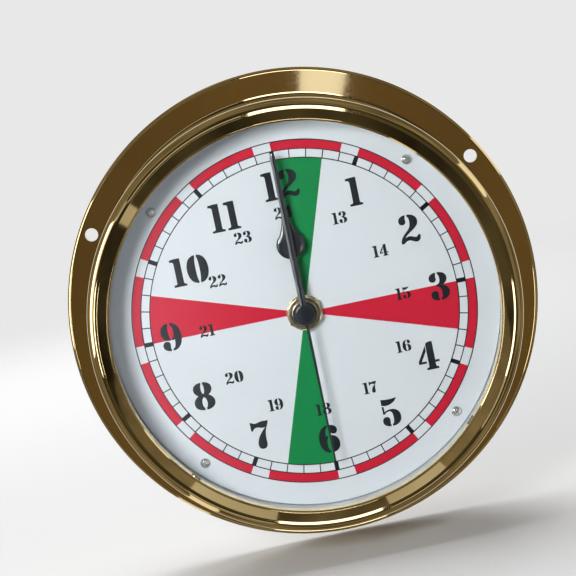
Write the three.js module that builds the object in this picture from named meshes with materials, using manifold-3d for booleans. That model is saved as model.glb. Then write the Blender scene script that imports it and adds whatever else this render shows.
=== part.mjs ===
/**
 * Radio room clock: a round brass bulkhead clock with a quartz movement behind a white dial.
 *
 * Lengths are in millimetres. The clock is drawn lying on its back, with z rising from the wall
 * plane to the glass, y towards twelve o'clock and x towards three, and is then stood up, so the
 * finished clock has +Z up, its dial facing -Y and the wall plane at y = 0.
 */
import * as THREE from 'three';
import { mergeVertices } from 'three/addons/utils/BufferGeometryUtils.js';
import Module from 'manifold-3d';

// Clearances
const seatGap = 0.25; // between faces that rest on each other
const runningGap = 0.2; // round a part that turns in another
const fitGap = 0.1; // round a part that is pushed or screwed into another
const overrun = 1; // how far a cutting tool runs past what it cuts, and joined solids overlap
const weld = 1e-4; // corners this close are one corner

// Case: base flange, wall, seat for the dial and ledge for the rear cover
const flangeWidth = 10.6; // from the case wall to the flange's edge
const flangeThickness = 3.2;
const flangeChamfer = 1.1;
const flangeBackChamfer = 0.6;
const flangeFillet = 3;
const caseWall = 2.7;
const dialSeatThickness = 2.8;
const dialSeatWidth = 8.7;
const rimWall = 1.2;
const shoulderWidth = 1.7; // from the rim to the case wall's outside
const shoulderHeight = 2; // case shoulder above the dial's front
const mountingHoleDiameter = 4.2;
const mountingHoleEdge = 4.4; // from the flange's edge to the hole's centre
const mountingHoleCount = 3;
const mountingHoleFirstAngle = 60;

// Dial and what lies between it and the glass
const dialDiameter = 119.6;
const dialThickness = 1;
const dialRingGap = 0.3;
const dialRingWall = 1.1;
const dialScrewEdge = 4; // from the dial's edge to the screw's centre
const dialScrewCount = 4;
const dialScrewFirstAngle = 45;
const dialScrewHeadDiameter = 3;
const dialScrewHeadHeight = 0.9;
const dialScrewDiameter = 1.7;
const dialScrewLength = 3.4;

// Bezel, glass and gasket
const bezelSkirtWall = 2.3;
const bezelGlassStep = 1; // from the skirt's bore in to the glass's bore
const bezelLipWidth = 3.4; // how far the lip covers the glass
const bezelLipDepth = 3.95;
const bezelLipEdge = 0.5;
const bezelBandWidth = 2.4;
const bezelBandDrop = 0.8;
const bezelRollHeight = 6;
const bezelSkirtClearance = 0.4;
const bezelSkirtChamfer = 0.5;
const glassThickness = 2.4;
const glassClearance = 1.5; // from the second hand's hub to the glass
const gasketThickness = 0.9;
const gasketWidth = 2.6;

// Rear cover
const coverThickness = 0.8;
const coverInset = 1.2;
const coverOverlap = 4.9; // how far the cover reaches under the case wall
const coverRingWidth = 24.4; // from the cover's edge to its window
const coverScrewCount = 4;
const coverScrewFirstAngle = 45;
const coverScrewInset = 1.9; // from the case wall's inside to the screw's centre
const coverScrewHeadDiameter = 4;
const coverScrewHeadHeight = 0.75;
const coverScrewDiameter = 2.2;
const coverScrewLength = 3.4;

// Pan heads of the screws
const panEdgeHeightShare = 0.45;
const panCrownWidthShare = 0.72;

// Movement case, with the battery tray along its lower edge
const backSpace = 3.7; // from the wall plane to the setting knob
const movementCorner = 3;
const movementWall = 1.1;
const movementPlate = 1.2;
const rearCaseRim = 2.1;
const trayWall = 0.8;
const trayDrop = 12.3; // from the hands' axis down to the tray
const postDiameter = 2.8;
const postInset = 3.6;
const trainPlateThickness = 0.8;
const pivotBossDiameter = 2.8;
const pivotBossHeight = 1;

// Battery, an AA cell, and its contacts
const batteryDiameter = 14.2;
const batteryLength = 50.5;
const batteryNubDiameter = 5.4;
const batteryNubLength = 1;
const batteryCrimp = 0.5;
const contactThickness = 0.4;
const contactWidth = 9;
const contactBow = 1.15; // from the contact's ends to its middle

// Hand fixing
const bushDiameter = 7.8;
const bushBore = 5.6;
const bushReach = 2.6; // bush above the dial's front
const bushFlangeDiameter = 13;
const bushFlangeThickness = 0.8;
const bushClearance = 0.55; // from the hour wheel to the bush
const rubberWasherDiameter = 18;
const rubberWasherThickness = 0.8;
const brassWasherDiameter = 11;
const brassWasherThickness = 0.4;
const nutAcrossFlats = 10;
const nutThickness = 1.4;
const nutChamfer = 0.35;

// Hands
const handThickness = 0.45;
const handStep = 1.6; // from one hand to the next
const hourPipeDiameter = 5;
const minuteTubeDiameter = 3.2;
const minuteTubeBore = 1.5;
const secondArborDiameter = 1.1;
const hourHandLength = 38;
const hourHandHubDiameter = 7.4;
const hourHandStemWidth = 2.2;
const hourHandBulbDiameter = 8.6;
const hourHandBulbDistance = 21.4;
const hourHandTipWidth = 0.5;
const hourHandTaperShares = [0.7, 1.3]; // of the stem's width, and of the bulb's radius
const minuteHandLength = 49.6;
const minuteHandHubDiameter = 6.2;
const minuteHandWidth = 2.1;
const minuteHandEndWidth = 1.6;
const minuteHandPoint = 0.9;
const minuteHandTipWidth = 0.5;
const secondHandLength = 46;
const secondHandWidth = 0.9;
const secondHandEndWidth = 0.5;
const secondHandHubDiameter = 5.8;
const secondHandHubThickness = 0.8;
const secondHandTubeDiameter = 2;

// Wheels: teeth and modules of each mesh
const arborDiameter = 1;
const studDiameter = 1.6;
const wheelThickness = 0.6;
const rotorTeeth = 6;
const rotorMeshModule = 0.4;
const intermediateTeeth = 30;
const intermediatePinionTeeth = 6;
const secondsTeeth = 36;
const secondsPinionTeeth = 6;
const thirdMeshModule = 0.36;
const thirdTeeth = 45;
const thirdPinionTeeth = 6;
const centreTeeth = 48;
const cannonTeeth = 12;
const motionMeshModule = 0.4;
const minuteWheelTeeth = 36;
const minutePinionTeeth = 12;
const hourWheelTeeth = 48;
const knobTeeth = 12;
const addendumShare = 0.8;
const dedendumShare = 1.2;
const tipWidthShare = 0.2;
const rootWidthShare = 0.52;

// Gaps between the wheels, along and across their arbors
const arborEndGap = 0.3; // from the back plate to the arbors' ends
const bossGap = 0.4; // from the bearings to the seconds wheel
const levelGap = 1; // from one wheel of the train to the next
const magnetGap = 0.3; // from the intermediate wheel to the magnet
const cannonLip = 0.4; // how far the cannon's end stands below the centre wheel
const cannonPinionGap = 0.6; // from the train plate to the cannon's pinion
const motionGap = 1.6; // from the minute wheel to the hour wheel
const wheelClearance = 0.3; // from the centre wheel's teeth to the intermediate arbor

// Places of the arbors, as clock angles from the arbor that drives them
const thirdArborAngle = 300;
const intermediateArborAngle = 70;
const rotorArborAngle = 30;
const minuteArborAngle = 0;
const knobArborAngle = 315;

// Motor
const magnetDiameter = 5;
const magnetThickness = 1.2;
const statorThickness = 0.8;
const statorAirGap = 0.4;
const statorRim = 1.6;
const statorArmWidth = 3;
const coilGap = 4.2; // from the stator's rim to the coil
const coilReach = 9.8; // from the rotor to the coil's far end
const coilSideGap = 1.9; // from the coil's near end to the movement's wall
const coilTopGap = 3; // from the coil up to the movement's wall
const coilFlangeDiameter = 5.8;
const coilFlangeThickness = 0.8;
const coilWireDiameter = 5.2;
const coilTubeDiameter = 3.9;
const coreWidth = 2.4;
const coreThickness = 1;

// Setting knob
const knobDiameter = 11;
const knobHeight = 3;
const knobShaftDiameter = 2.8;
const knobGrips = 12;
const knobGripDepth = 0.5;
const knobGap = 0.4;

// Circuit
const boardKnobGap = 3.5; // from the setting knob's shaft to the board
const boardHeight = 15.5;
const boardThickness = 0.8;
const boardGap = 0.7; // from the board to the movement's wall
const boardBottom = 6; // from the hands' axis to the board's lower edge
const chipDiameter = 5;
const chipHeight = 0.9;
const crystalDiameter = 2;
const crystalLength = 6;
const chipPlaceShares = [0.3, 0.28];
const crystalPlaceShares = [0.5, 0.78];
const chipCrownShares = [0.8, 0.7]; // of the chip's radius and height, at its shoulder

// Facets round the big rings, the small round parts and the arbors
const bigFacets = 48;
const midFacets = 24;
const smallFacets = 12;
const cornerFacets = 4;

const wasm = await Module();
wasm.setup();

// Finishes
const metal = (color, roughness) =>
  new THREE.MeshStandardMaterial({ color, roughness, metalness: 1 });
const plain = (color, roughness) =>
  new THREE.MeshStandardMaterial({ color, roughness, metalness: 0 });
const finishes = {
  polishedBrass: metal(0xd8b25c, 0.12),
  plainBrass: metal(0xc79a48, 0.35),
  steel: metal(0xc9ccd0, 0.25),
  dullSteel: metal(0x9a9c9e, 0.45),
  copper: metal(0xb5632c, 0.4),
  dialWhite: plain(0xe4ebec, 0.45),
  ringWhite: plain(0xd5dade, 0.5),
  handBlack: plain(0x1c2228, 0.3),
  blackPlastic: plain(0x222426, 0.5),
  whitePlastic: plain(0xe9e8e2, 0.5),
  rubber: plain(0x1b1b1c, 0.8),
  board: plain(0x9c7a3a, 0.5),
  battery: plain(0xe0b73c, 0.35),
  glass: new THREE.MeshStandardMaterial({
    color: 0xf2f6f7, roughness: 0.03, metalness: 0, transparent: true, opacity: 0.25,
  }),
};

/** Point at a clock angle (degrees clockwise from twelve) and distance from a centre. */
function clockPoint(distance, clockAngle, centre = { x: 0, y: 0 }) {
  const turn = THREE.MathUtils.degToRad(clockAngle);
  return new THREE.Vector2(
    centre.x + distance * Math.sin(turn),
    centre.y + distance * Math.cos(turn),
  );
}

/** Angle from +x, in radians, of the direction from one point to another. */
function heading(from, to) {
  return Math.atan2(to.y - from.y, to.x - from.x);
}

/** Same triangles as one closed skin: shared corners, no empty triangles, faces outwards. */
function closed(geometry) {
  const bare = geometry.clone();
  bare.deleteAttribute('normal');
  bare.deleteAttribute('uv');
  const merged = mergeVertices(bare, weld);
  const corners = merged.index.array;
  const place = merged.attributes.position;
  const kept = [];
  let volume = 0;
  for (let i = 0; i < corners.length; i += 3) {
    const [a, b, c] = [corners[i], corners[i + 1], corners[i + 2]];
    if (a === b || b === c || c === a) continue;
    kept.push(a, b, c);
    const [p, q, r] = [a, b, c].map((k) => new THREE.Vector3().fromBufferAttribute(place, k));
    volume += p.dot(q.cross(r));
  }
  if (volume < 0) {
    for (let i = 0; i < kept.length; i += 3) [kept[i + 1], kept[i + 2]] = [kept[i + 2], kept[i + 1]];
  }
  merged.setIndex(kept);
  return merged;
}

/** Geometry as a solid that can be joined and cut. */
function solid(geometry) {
  const skin = closed(geometry);
  return new wasm.Manifold(new wasm.Mesh({
    numProp: 3,
    vertProperties: skin.attributes.position.array,
    triVerts: Uint32Array.from(skin.index.array),
  }));
}

/** Solid back as geometry for a mesh. */
function geometryOf(body) {
  const mesh = body.getMesh();
  const geometry = new THREE.BufferGeometry();
  geometry.setAttribute('position', new THREE.BufferAttribute(mesh.vertProperties, 3));
  geometry.setIndex(new THREE.BufferAttribute(mesh.triVerts, 1));
  return geometry;
}

/** One solid from several that overlap. */
function joined(...bodies) {
  return bodies.reduce((whole, body) => whole.add(body));
}

/** Solid with each tool taken out of it. */
function cut(body, ...tools) {
  return tools.reduce((rest, tool) => rest.subtract(tool), body);
}

/** Turned solid about z from its section, a list of [radius, z] corners. */
function turned(section, facets, centre = { x: 0, y: 0 }) {
  const corners = section.map(([radius, z]) => new THREE.Vector2(radius, z));
  const onAxis = section[0][0] === 0 && section[section.length - 1][0] === 0;
  if (!onAxis) corners.push(corners[0].clone());
  const geometry = new THREE.LatheGeometry(corners, facets);
  geometry.rotateX(Math.PI / 2);
  geometry.translate(centre.x, centre.y, 0);
  return solid(geometry);
}

/** Round rod about z. */
function rod(diameter, low, high, facets = smallFacets, centre = { x: 0, y: 0 }) {
  const radius = diameter / 2;
  return turned([[0, low], [radius, low], [radius, high], [0, high]], facets, centre);
}

/** Round tube about z. */
function tube(diameter, bore, low, high, facets = smallFacets, centre = { x: 0, y: 0 }) {
  const [outer, inner] = [diameter / 2, bore / 2];
  return turned([[inner, low], [outer, low], [outer, high], [inner, high]], facets, centre);
}

/** Flat solid from an outline in x and y, between two levels. */
function plate(outline, low, high, curveSegments = smallFacets) {
  const geometry = new THREE.ExtrudeGeometry(outline, {
    depth: high - low, bevelEnabled: false, curveSegments,
  });
  geometry.translate(0, 0, low);
  return solid(geometry);
}

/** Outline through a list of [x, y] corners. */
function outlineOf(corners) {
  return new THREE.Shape(corners.map(([x, y]) => new THREE.Vector2(x, y)));
}

/** Rectangle outline from its low and high corners. */
function rectangle(left, bottom, right, top) {
  return outlineOf([[left, bottom], [right, bottom], [right, top], [left, top]]);
}

/** Rectangle outline with round corners. */
function roundedRectangle(left, bottom, right, top, corner) {
  const [west, south, east, north] = [left + corner, bottom + corner, right - corner, top - corner];
  const shape = new THREE.Shape();
  shape.moveTo(east, bottom);
  shape.absarc(east, south, corner, -Math.PI / 2, 0, false);
  shape.absarc(east, north, corner, 0, Math.PI / 2, false);
  shape.absarc(west, north, corner, Math.PI / 2, Math.PI, false);
  shape.absarc(west, south, corner, Math.PI, 1.5 * Math.PI, false);
  return shape;
}

/** Places spread evenly round a circle. */
function spread(count, radius, firstAngle) {
  return Array.from({ length: count }, (_, k) =>
    clockPoint(radius, firstAngle + (360 * k) / count));
}

/** Outline of a toothed wheel, with a tooth centred at the phase angle (radians from +x). */
function toothedOutline(teeth, module, phase, centre = { x: 0, y: 0 }) {
  const pitchRadius = (teeth * module) / 2;
  const pitchAngle = (2 * Math.PI) / teeth;
  const tip = pitchRadius + addendumShare * module;
  const root = pitchRadius - dedendumShare * module;
  const flanks = [
    [root, -rootWidthShare / 2], [tip, -tipWidthShare / 2],
    [tip, tipWidthShare / 2], [root, rootWidthShare / 2],
  ];
  const corners = [];
  for (let k = 0; k < teeth; k++) {
    for (const [radius, offset] of flanks) {
      const angle = phase + (k + offset) * pitchAngle;
      corners.push([centre.x + radius * Math.cos(angle), centre.y + radius * Math.sin(angle)]);
    }
  }
  return outlineOf(corners);
}

/** Phase that puts a wheel in mesh with another, whose centre lies at the heading from it. */
function meshPhase(drivingPhase, drivingTeeth, teeth, headingAngle) {
  const drivingPitch = (2 * Math.PI) / drivingTeeth;
  const pitch = (2 * Math.PI) / teeth;
  const share = (headingAngle - drivingPhase) / drivingPitch;
  return headingAngle + Math.PI + (share - Math.floor(share) + 0.5) * pitch;
}

/** Distance between the centres of two wheels in mesh. */
function centreDistance(module, teethA, teethB) {
  return (module * (teethA + teethB)) / 2;
}

/** Radius of a wheel over its teeth. */
function tipRadius(module, teeth) {
  return module * (teeth / 2 + addendumShare);
}

// Levels of the movement above its own back
const arborEndLevel = movementPlate + arborEndGap;
const secondsWheelLevel = movementPlate + pivotBossHeight + bossGap;
const thirdWheelLevel = secondsWheelLevel + wheelThickness + levelGap;
const magnetLevel = thirdWheelLevel + wheelThickness + magnetGap;
const cannonEndLevel = thirdWheelLevel + wheelThickness + levelGap;
const centreWheelLevel = cannonEndLevel + cannonLip;
const trainPlateLevel = centreWheelLevel + wheelThickness + levelGap;
const cannonPinionLevel = trainPlateLevel + trainPlateThickness + cannonPinionGap;
const minuteWheelLevel = trainPlateLevel + trainPlateThickness + levelGap;
const hourWheelLevel = minuteWheelLevel + wheelThickness + motionGap;
const bushLevel = hourWheelLevel + wheelThickness + bushClearance;
const movementDepth = bushLevel + bushFlangeThickness + seatGap + movementPlate;

// Levels of the case, the dial and the front above the wall plane
const movementBack = backSpace + knobHeight + knobGap;
const movementFront = movementBack + movementDepth;
const dialBack = movementFront + rubberWasherThickness + 2 * seatGap;
const dialHeight = dialBack + dialThickness;
const dialSeatTop = dialBack - seatGap;
const dialSeatLow = dialSeatTop - dialSeatThickness;
const shoulder = dialHeight + shoulderHeight;
const rebate = coverInset + coverThickness + seatGap;
const hourHandLow = dialHeight + bushReach + 2 * seatGap;
const minuteHandLow = hourHandLow + handStep;
const secondHandLow = minuteHandLow + handStep;
const glassLow = secondHandLow + secondHandHubThickness + glassClearance;
const glassTop = glassLow + glassThickness;
const gasketTop = glassLow - seatGap;
const gasketLow = gasketTop - gasketThickness;
const rimTop = gasketLow - seatGap;
const lipUnderside = glassTop + seatGap;
const bezelTop = lipUnderside + bezelLipDepth;
const skirtLow = shoulder + bezelSkirtClearance;

// Radii of the case, the dial and the front
const dialRadius = dialDiameter / 2;
const rimInner = dialRadius + dialRingGap + dialRingWall + dialRingGap;
const rimOuter = rimInner + rimWall;
const caseRadius = rimOuter + shoulderWidth;
const cavityRadius = caseRadius - caseWall;
const flangeRadius = caseRadius + flangeWidth;
const skirtBore = rimOuter + bezelSkirtClearance;
const bezelRadius = skirtBore + bezelSkirtWall;
const glassBore = skirtBore - bezelGlassStep;
const glassRadius = glassBore - runningGap;
const openingRadius = glassRadius - bezelLipWidth;
const coverRebateRadius = cavityRadius + coverOverlap;
const movementWidth = batteryLength + 2 * (seatGap + contactBow + seatGap + movementWall);
const coverRadius = coverRebateRadius - runningGap;
const coverWindowRadius = coverRadius - coverRingWidth;
const dialScrewPlaces = spread(dialScrewCount, dialRadius - dialScrewEdge, dialScrewFirstAngle);
const coverScrewPlaces = spread(
  coverScrewCount, cavityRadius + coverScrewInset, coverScrewFirstAngle);
const mountingHolePlaces = spread(
  mountingHoleCount, flangeRadius - mountingHoleEdge, mountingHoleFirstAngle);

/** Brass case: flange, wall, threaded rim and the recess for the rear cover. */
function caseBody() {
  const fillet = [];
  const filletSteps = 2;
  const filletRadius = caseRadius + flangeFillet;
  for (let k = 0; k <= filletSteps; k++) {
    const turn = ((Math.PI / 2) * k) / filletSteps;
    fillet.push([
      filletRadius - flangeFillet * Math.sin(turn),
      flangeThickness + flangeFillet * (1 - Math.cos(turn)),
    ]);
  }
  const section = [
    [cavityRadius, rebate],
    [coverRebateRadius, rebate],
    [coverRebateRadius, 0],
    [flangeRadius - flangeBackChamfer, 0],
    [flangeRadius, flangeBackChamfer],
    [flangeRadius, flangeThickness - flangeChamfer],
    [flangeRadius - flangeChamfer, flangeThickness],
    ...fillet,
    [caseRadius, shoulder],
    [rimOuter, shoulder],
    [rimOuter, rimTop],
    [rimInner, rimTop],
    [rimInner, dialSeatTop + fitGap],
    [cavityRadius, dialSeatTop + fitGap],
  ];
  const holes = [
    ...mountingHolePlaces.map((p) =>
      rod(mountingHoleDiameter, -overrun, flangeThickness + overrun, smallFacets, p)),
    ...coverScrewPlaces.map((p) => rod(
      coverScrewDiameter + 2 * fitGap, rebate - overrun,
      coverInset + coverScrewLength, smallFacets, p)),
  ];
  return cut(turned(section, bigFacets), ...holes);
}

/** Ring soldered into the case that the dial is screwed to. */
function dialSeatRing() {
  const ring = tube(
    2 * (cavityRadius - fitGap), 2 * (rimInner - dialSeatWidth), dialSeatLow, dialSeatTop, bigFacets);
  const holes = dialScrewPlaces.map((p) => rod(
    dialScrewDiameter + 2 * fitGap, dialSeatLow - overrun, dialSeatTop + overrun, smallFacets, p));
  return cut(ring, ...holes);
}

/** Bezel ring: inner lip, sloping band, rounded outer edge and skirt round the case rim. */
function bezelRing() {
  const bandEdge = openingRadius + bezelLipEdge + bezelBandWidth;
  const bandLevel = bezelTop - bezelBandDrop;
  const roll = [];
  const rollSteps = 5;
  for (let k = 0; k <= rollSteps; k++) {
    const turn = ((Math.PI / 2) * k) / rollSteps;
    roll.push([
      bandEdge + (bezelRadius - bandEdge) * Math.sin(turn),
      bandLevel - bezelRollHeight * (1 - Math.cos(turn)),
    ]);
  }
  return turned([
    [openingRadius, lipUnderside],
    [glassBore, lipUnderside],
    [glassBore, glassLow],
    [skirtBore, glassLow],
    [skirtBore, skirtLow],
    [bezelRadius - bezelSkirtChamfer, skirtLow],
    [bezelRadius, skirtLow + bezelSkirtChamfer],
    ...roll.reverse(),
    [openingRadius + bezelLipEdge, bezelTop],
    [openingRadius, bezelTop - bezelLipEdge],
  ], bigFacets);
}

/** Flat glass pane. */
function frontGlass() {
  return rod(2 * glassRadius, glassLow, glassTop, bigFacets);
}

/** Rubber ring between the glass and the case rim. */
function bezelGasket() {
  const outer = skirtBore - runningGap;
  return tube(2 * outer, 2 * (outer - gasketWidth), gasketLow, gasketTop, bigFacets);
}

/** White wall round the dial's edge. */
function dialSurroundRing() {
  const inner = dialRadius + dialRingGap;
  return tube(2 * (inner + dialRingWall), 2 * inner, dialSeatTop + seatGap, rimTop, bigFacets);
}

/** Dial plate with its centre hole and screw holes. */
function dialPlate() {
  const disc = rod(dialDiameter, dialBack, dialHeight, bigFacets);
  const holes = dialScrewPlaces.map((p) =>
    rod(dialScrewDiameter + 2 * fitGap, dialBack - overrun, dialHeight + overrun, smallFacets, p));
  const centreHole = rod(
    bushDiameter + 2 * runningGap, dialBack - overrun, dialHeight + overrun, midFacets);
  return cut(disc, centreHole, ...holes);
}

/** Pan-head screw whose head rests on a face; side 1 points the head to the front. */
function panScrew(place, seat, side, size) {
  const head = seat + side * seatGap;
  const headEdge = head + side * size.headHeight * panEdgeHeightShare;
  const headTop = head + side * size.headHeight;
  return turned([
    [0, head - side * size.length],
    [size.diameter / 2, head - side * size.length],
    [size.diameter / 2, head],
    [size.headDiameter / 2, head],
    [size.headDiameter / 2, headEdge],
    [(size.headDiameter / 2) * panCrownWidthShare, headTop],
    [0, headTop],
  ], smallFacets, place);
}

const dialScrewSize = {
  diameter: dialScrewDiameter,
  length: dialScrewLength,
  headDiameter: dialScrewHeadDiameter,
  headHeight: dialScrewHeadHeight,
};
const coverScrewSize = {
  diameter: coverScrewDiameter,
  length: coverScrewLength,
  headDiameter: coverScrewHeadDiameter,
  headHeight: coverScrewHeadHeight,
};

/** Rear cover: a ring whose window leaves the battery and the setting knob in reach. */
function rearCover() {
  const ring = tube(
    2 * coverRadius, 2 * coverWindowRadius,
    coverInset, coverInset + coverThickness, bigFacets);
  const holes = coverScrewPlaces.map((p) => rod(
    coverScrewDiameter + 2 * fitGap,
    coverInset - overrun, coverInset + coverThickness + overrun, smallFacets, p));
  return cut(ring, ...holes);
}

// Places of the arbors
const axis = new THREE.Vector2(0, 0);
const thirdMeshDistance = centreDistance(thirdMeshModule, secondsPinionTeeth, thirdTeeth);
const centreMeshModule = (2 * thirdMeshDistance) / (thirdPinionTeeth + centreTeeth);
const intermediateDistance =
  tipRadius(centreMeshModule, centreTeeth) + arborDiameter / 2 + wheelClearance;
const secondsMeshModule = (2 * intermediateDistance) / (secondsTeeth + intermediatePinionTeeth);
const motionDistance = centreDistance(motionMeshModule, cannonTeeth, minuteWheelTeeth);
const hourMeshModule = (2 * motionDistance) / (minutePinionTeeth + hourWheelTeeth);
const thirdPlace = clockPoint(thirdMeshDistance, thirdArborAngle);
const intermediatePlace = clockPoint(intermediateDistance, intermediateArborAngle);
const rotorPlace = clockPoint(
  centreDistance(rotorMeshModule, intermediateTeeth, rotorTeeth), rotorArborAngle, intermediatePlace);
const minutePlace = clockPoint(motionDistance, minuteArborAngle);
const knobPlace = clockPoint(
  centreDistance(motionMeshModule, minuteWheelTeeth, knobTeeth), knobArborAngle, minutePlace);

// Places and levels inside the movement
const frontInner = movementFront - movementPlate;
const rearInner = movementBack + movementPlate;
const rearRimTop = rearInner + rearCaseRim;
const trainPlateLow = movementBack + trainPlateLevel;
const trainPlateTop = trainPlateLow + trainPlateThickness;
const arborEnd = movementBack + arborEndLevel;
const half = movementWidth / 2;
const innerHalf = half - movementWall;
const trayTop = -trayDrop;
const batteryAxisLevel = frontInner - seatGap - batteryDiameter / 2;
const batteryAxisY = trayTop - runningGap - batteryDiameter / 2;
const innerBottom = batteryAxisY - batteryDiameter / 2 - runningGap;
const statorLow = movementBack + magnetLevel + (magnetThickness - statorThickness) / 2;
const statorRadius = magnetDiameter / 2 + statorAirGap + statorRim;
const coilAxisY = rotorPlace.y + statorRadius + coilGap + coilFlangeDiameter / 2;
const coilAxisLevel = rearInner + seatGap + coilFlangeDiameter / 2;
const coilLeft = rotorPlace.x - coilReach;
const coilRight = innerHalf - coilSideGap;
const coreTop = statorLow - seatGap;
const innerTop = coilAxisY + coilFlangeDiameter / 2 + coilTopGap;
const boardLeft = boardGap - innerHalf;
const boardWidth = knobPlace.x - knobShaftDiameter / 2 - boardKnobGap - boardLeft;
const lowPostY = trayTop + trayWall + runningGap + postDiameter / 2;
const highPostY = innerTop + movementWall - postInset;
const postPlaces = [
  [-1, lowPostY], [1, lowPostY], [-1, highPostY], [1, highPostY],
].map(([side, y]) => new THREE.Vector2(side * (half - postInset), y));

/** Outline of the movement, drawn in by a wall from its outside. */
function movementOutline(wall = 0) {
  return roundedRectangle(
    wall - half, innerBottom - movementWall + wall, half - wall, innerTop + movementWall - wall,
    movementCorner - wall);
}

/** Front half of the movement case, with the battery tray's floor and wall. */
function movementFrontCase() {
  const wallLow = rearRimTop + seatGap;
  const ring = movementOutline();
  ring.holes.push(movementOutline(movementWall));
  const outline = movementOutline();
  const floor = plate(outline, frontInner, movementFront, cornerFacets);
  const walls = plate(ring, wallLow, frontInner + overrun / 2, cornerFacets);
  const divider = plate(
    rectangle(-innerHalf - movementWall / 2, trayTop, innerHalf + movementWall / 2, trayTop + trayWall),
    rearInner + seatGap + rearCaseRim, frontInner + overrun / 2);
  const posts = postPlaces.map((p) =>
    rod(postDiameter, trainPlateTop + seatGap, frontInner + overrun / 2, smallFacets / 2, p));
  const body = joined(floor, walls, divider, ...posts);
  return cut(body, rod(
    bushDiameter + 2 * runningGap, frontInner - overrun, movementFront + overrun, midFacets));
}

/** Rear half of the movement case: back plate, rim, bearings and the battery opening. */
function movementRearCase() {
  const ring = movementOutline();
  ring.holes.push(movementOutline(movementWall));
  const back = plate(movementOutline(), movementBack, rearInner, cornerFacets);
  const rim = plate(ring, rearInner - overrun / 2, rearRimTop, cornerFacets);
  const wall = plate(
    rectangle(-innerHalf - movementWall / 2, trayTop, innerHalf + movementWall / 2, trayTop + trayWall),
    rearInner - overrun / 2, rearInner + rearCaseRim);
  const posts = postPlaces.map((p) =>
    rod(postDiameter, rearInner - overrun / 2, trainPlateLow - seatGap, smallFacets / 2, p));
  const bosses = [axis, thirdPlace, intermediatePlace, rotorPlace].map((p) =>
    rod(pivotBossDiameter, rearInner - overrun / 2, rearInner + pivotBossHeight, smallFacets, p));
  const pivots = [axis, thirdPlace, intermediatePlace, rotorPlace].map((p) => rod(
    arborDiameter + 2 * runningGap, arborEnd - seatGap,
    rearInner + pivotBossHeight + overrun, smallFacets, p));
  const opening = plate(
    rectangle(-innerHalf, innerBottom, innerHalf, trayTop), movementBack - overrun, rearInner + overrun);
  const knobHole = rod(
    knobShaftDiameter + 2 * runningGap, movementBack - overrun, rearInner + overrun, smallFacets,
    knobPlace);
  return cut(joined(back, rim, wall, ...posts, ...bosses), ...pivots, opening, knobHole);
}

/** Plate between the going train and the motion work, with the minute wheel's stud. */
function trainPlate() {
  const above = plate(
    rectangle(-half, trayTop + trayWall + runningGap, half, innerTop + movementWall),
    trainPlateLow, trainPlateTop);
  const outline = movementOutline(movementWall + runningGap);
  const base = plate(outline, trainPlateLow, trainPlateTop, cornerFacets).intersect(above);
  const stud = rod(
    studDiameter, trainPlateLow + trainPlateThickness / 2, frontInner - seatGap, smallFacets,
    minutePlace);
  const holes = [
    rod(minuteTubeDiameter + 4 * runningGap, trainPlateLow - overrun, trainPlateTop + overrun,
      smallFacets, axis),
    rod(knobShaftDiameter + 2 * runningGap, trainPlateLow - overrun, trainPlateTop + overrun,
      smallFacets, knobPlace),
    ...[thirdPlace, intermediatePlace, rotorPlace].map((p) => rod(
      arborDiameter + 2 * runningGap, trainPlateLow - overrun, trainPlateTop + overrun,
      smallFacets, p)),
  ];
  return cut(joined(base, stud), ...holes);
}

/** Threaded brass bush that clamps the movement to the dial. */
function centreBush() {
  const [outer, bore, flange] = [bushDiameter / 2, bushBore / 2, bushFlangeDiameter / 2];
  const flangeTop = frontInner - seatGap;
  const flangeLow = flangeTop - bushFlangeThickness;
  const top = dialHeight + bushReach;
  return turned([
    [bore, flangeLow], [flange, flangeLow], [flange, flangeTop], [outer, flangeTop],
    [outer, top], [bore, top],
  ], midFacets);
}

/** Rubber washer between the movement and the dial. */
function rubberWasher() {
  return tube(
    rubberWasherDiameter, bushDiameter + 4 * runningGap,
    movementFront + seatGap, movementFront + seatGap + rubberWasherThickness, midFacets);
}

const brassWasherLow = dialHeight + seatGap;
const nutLow = brassWasherLow + brassWasherThickness + seatGap;

/** Brass washer under the nut. */
function brassWasher() {
  return tube(
    brassWasherDiameter, bushDiameter + 2 * runningGap,
    brassWasherLow, brassWasherLow + brassWasherThickness, midFacets);
}

/** Hexagon nut with its corners turned off at the top. */
function fixingNut() {
  const top = nutLow + nutThickness;
  const cornerRadius = nutAcrossFlats / Math.sqrt(3);
  const hexagon = plate(
    outlineOf(Array.from({ length: 6 }, (_, k) => {
      const corner = clockPoint(cornerRadius, 60 * k);
      return [corner.x, corner.y];
    })), nutLow, top);
  const envelope = turned([
    [0, nutLow - overrun], [cornerRadius + overrun, nutLow - overrun],
    [cornerRadius + overrun, top - nutChamfer - overrun * nutChamfer],
    [nutAcrossFlats / 2, top], [0, top],
  ], midFacets);
  const bore = rod(bushDiameter + 2 * fitGap, nutLow - overrun, top + overrun, midFacets);
  return cut(hexagon.intersect(envelope), bore);
}

/** Outline of a hand along +y from its half widths, a list of [half width, distance]. */
function handOutline(halfWidths, hubDiameter, boreDiameter) {
  const hub = hubDiameter / 2;
  const [rootHalf] = halfWidths[0];
  const start = Math.acos(rootHalf / hub);
  const right = halfWidths.map(([width, distance]) => new THREE.Vector2(width, distance));
  const left = [...right].reverse().map((p) => new THREE.Vector2(-p.x, p.y));
  const tip = left[0].x === right[right.length - 1].x ? left.slice(1) : left;
  const shape = new THREE.Shape();
  shape.moveTo(rootHalf, hub * Math.sin(start));
  for (const p of [...right, ...tip]) shape.lineTo(p.x, p.y);
  shape.absarc(0, 0, hub, Math.PI - start, start, false);
  if (boreDiameter) {
    const bore = new THREE.Path();
    bore.absarc(0, 0, boreDiameter / 2, 0, 2 * Math.PI, true);
    shape.holes.push(bore);
  }
  return shape;
}

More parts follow.
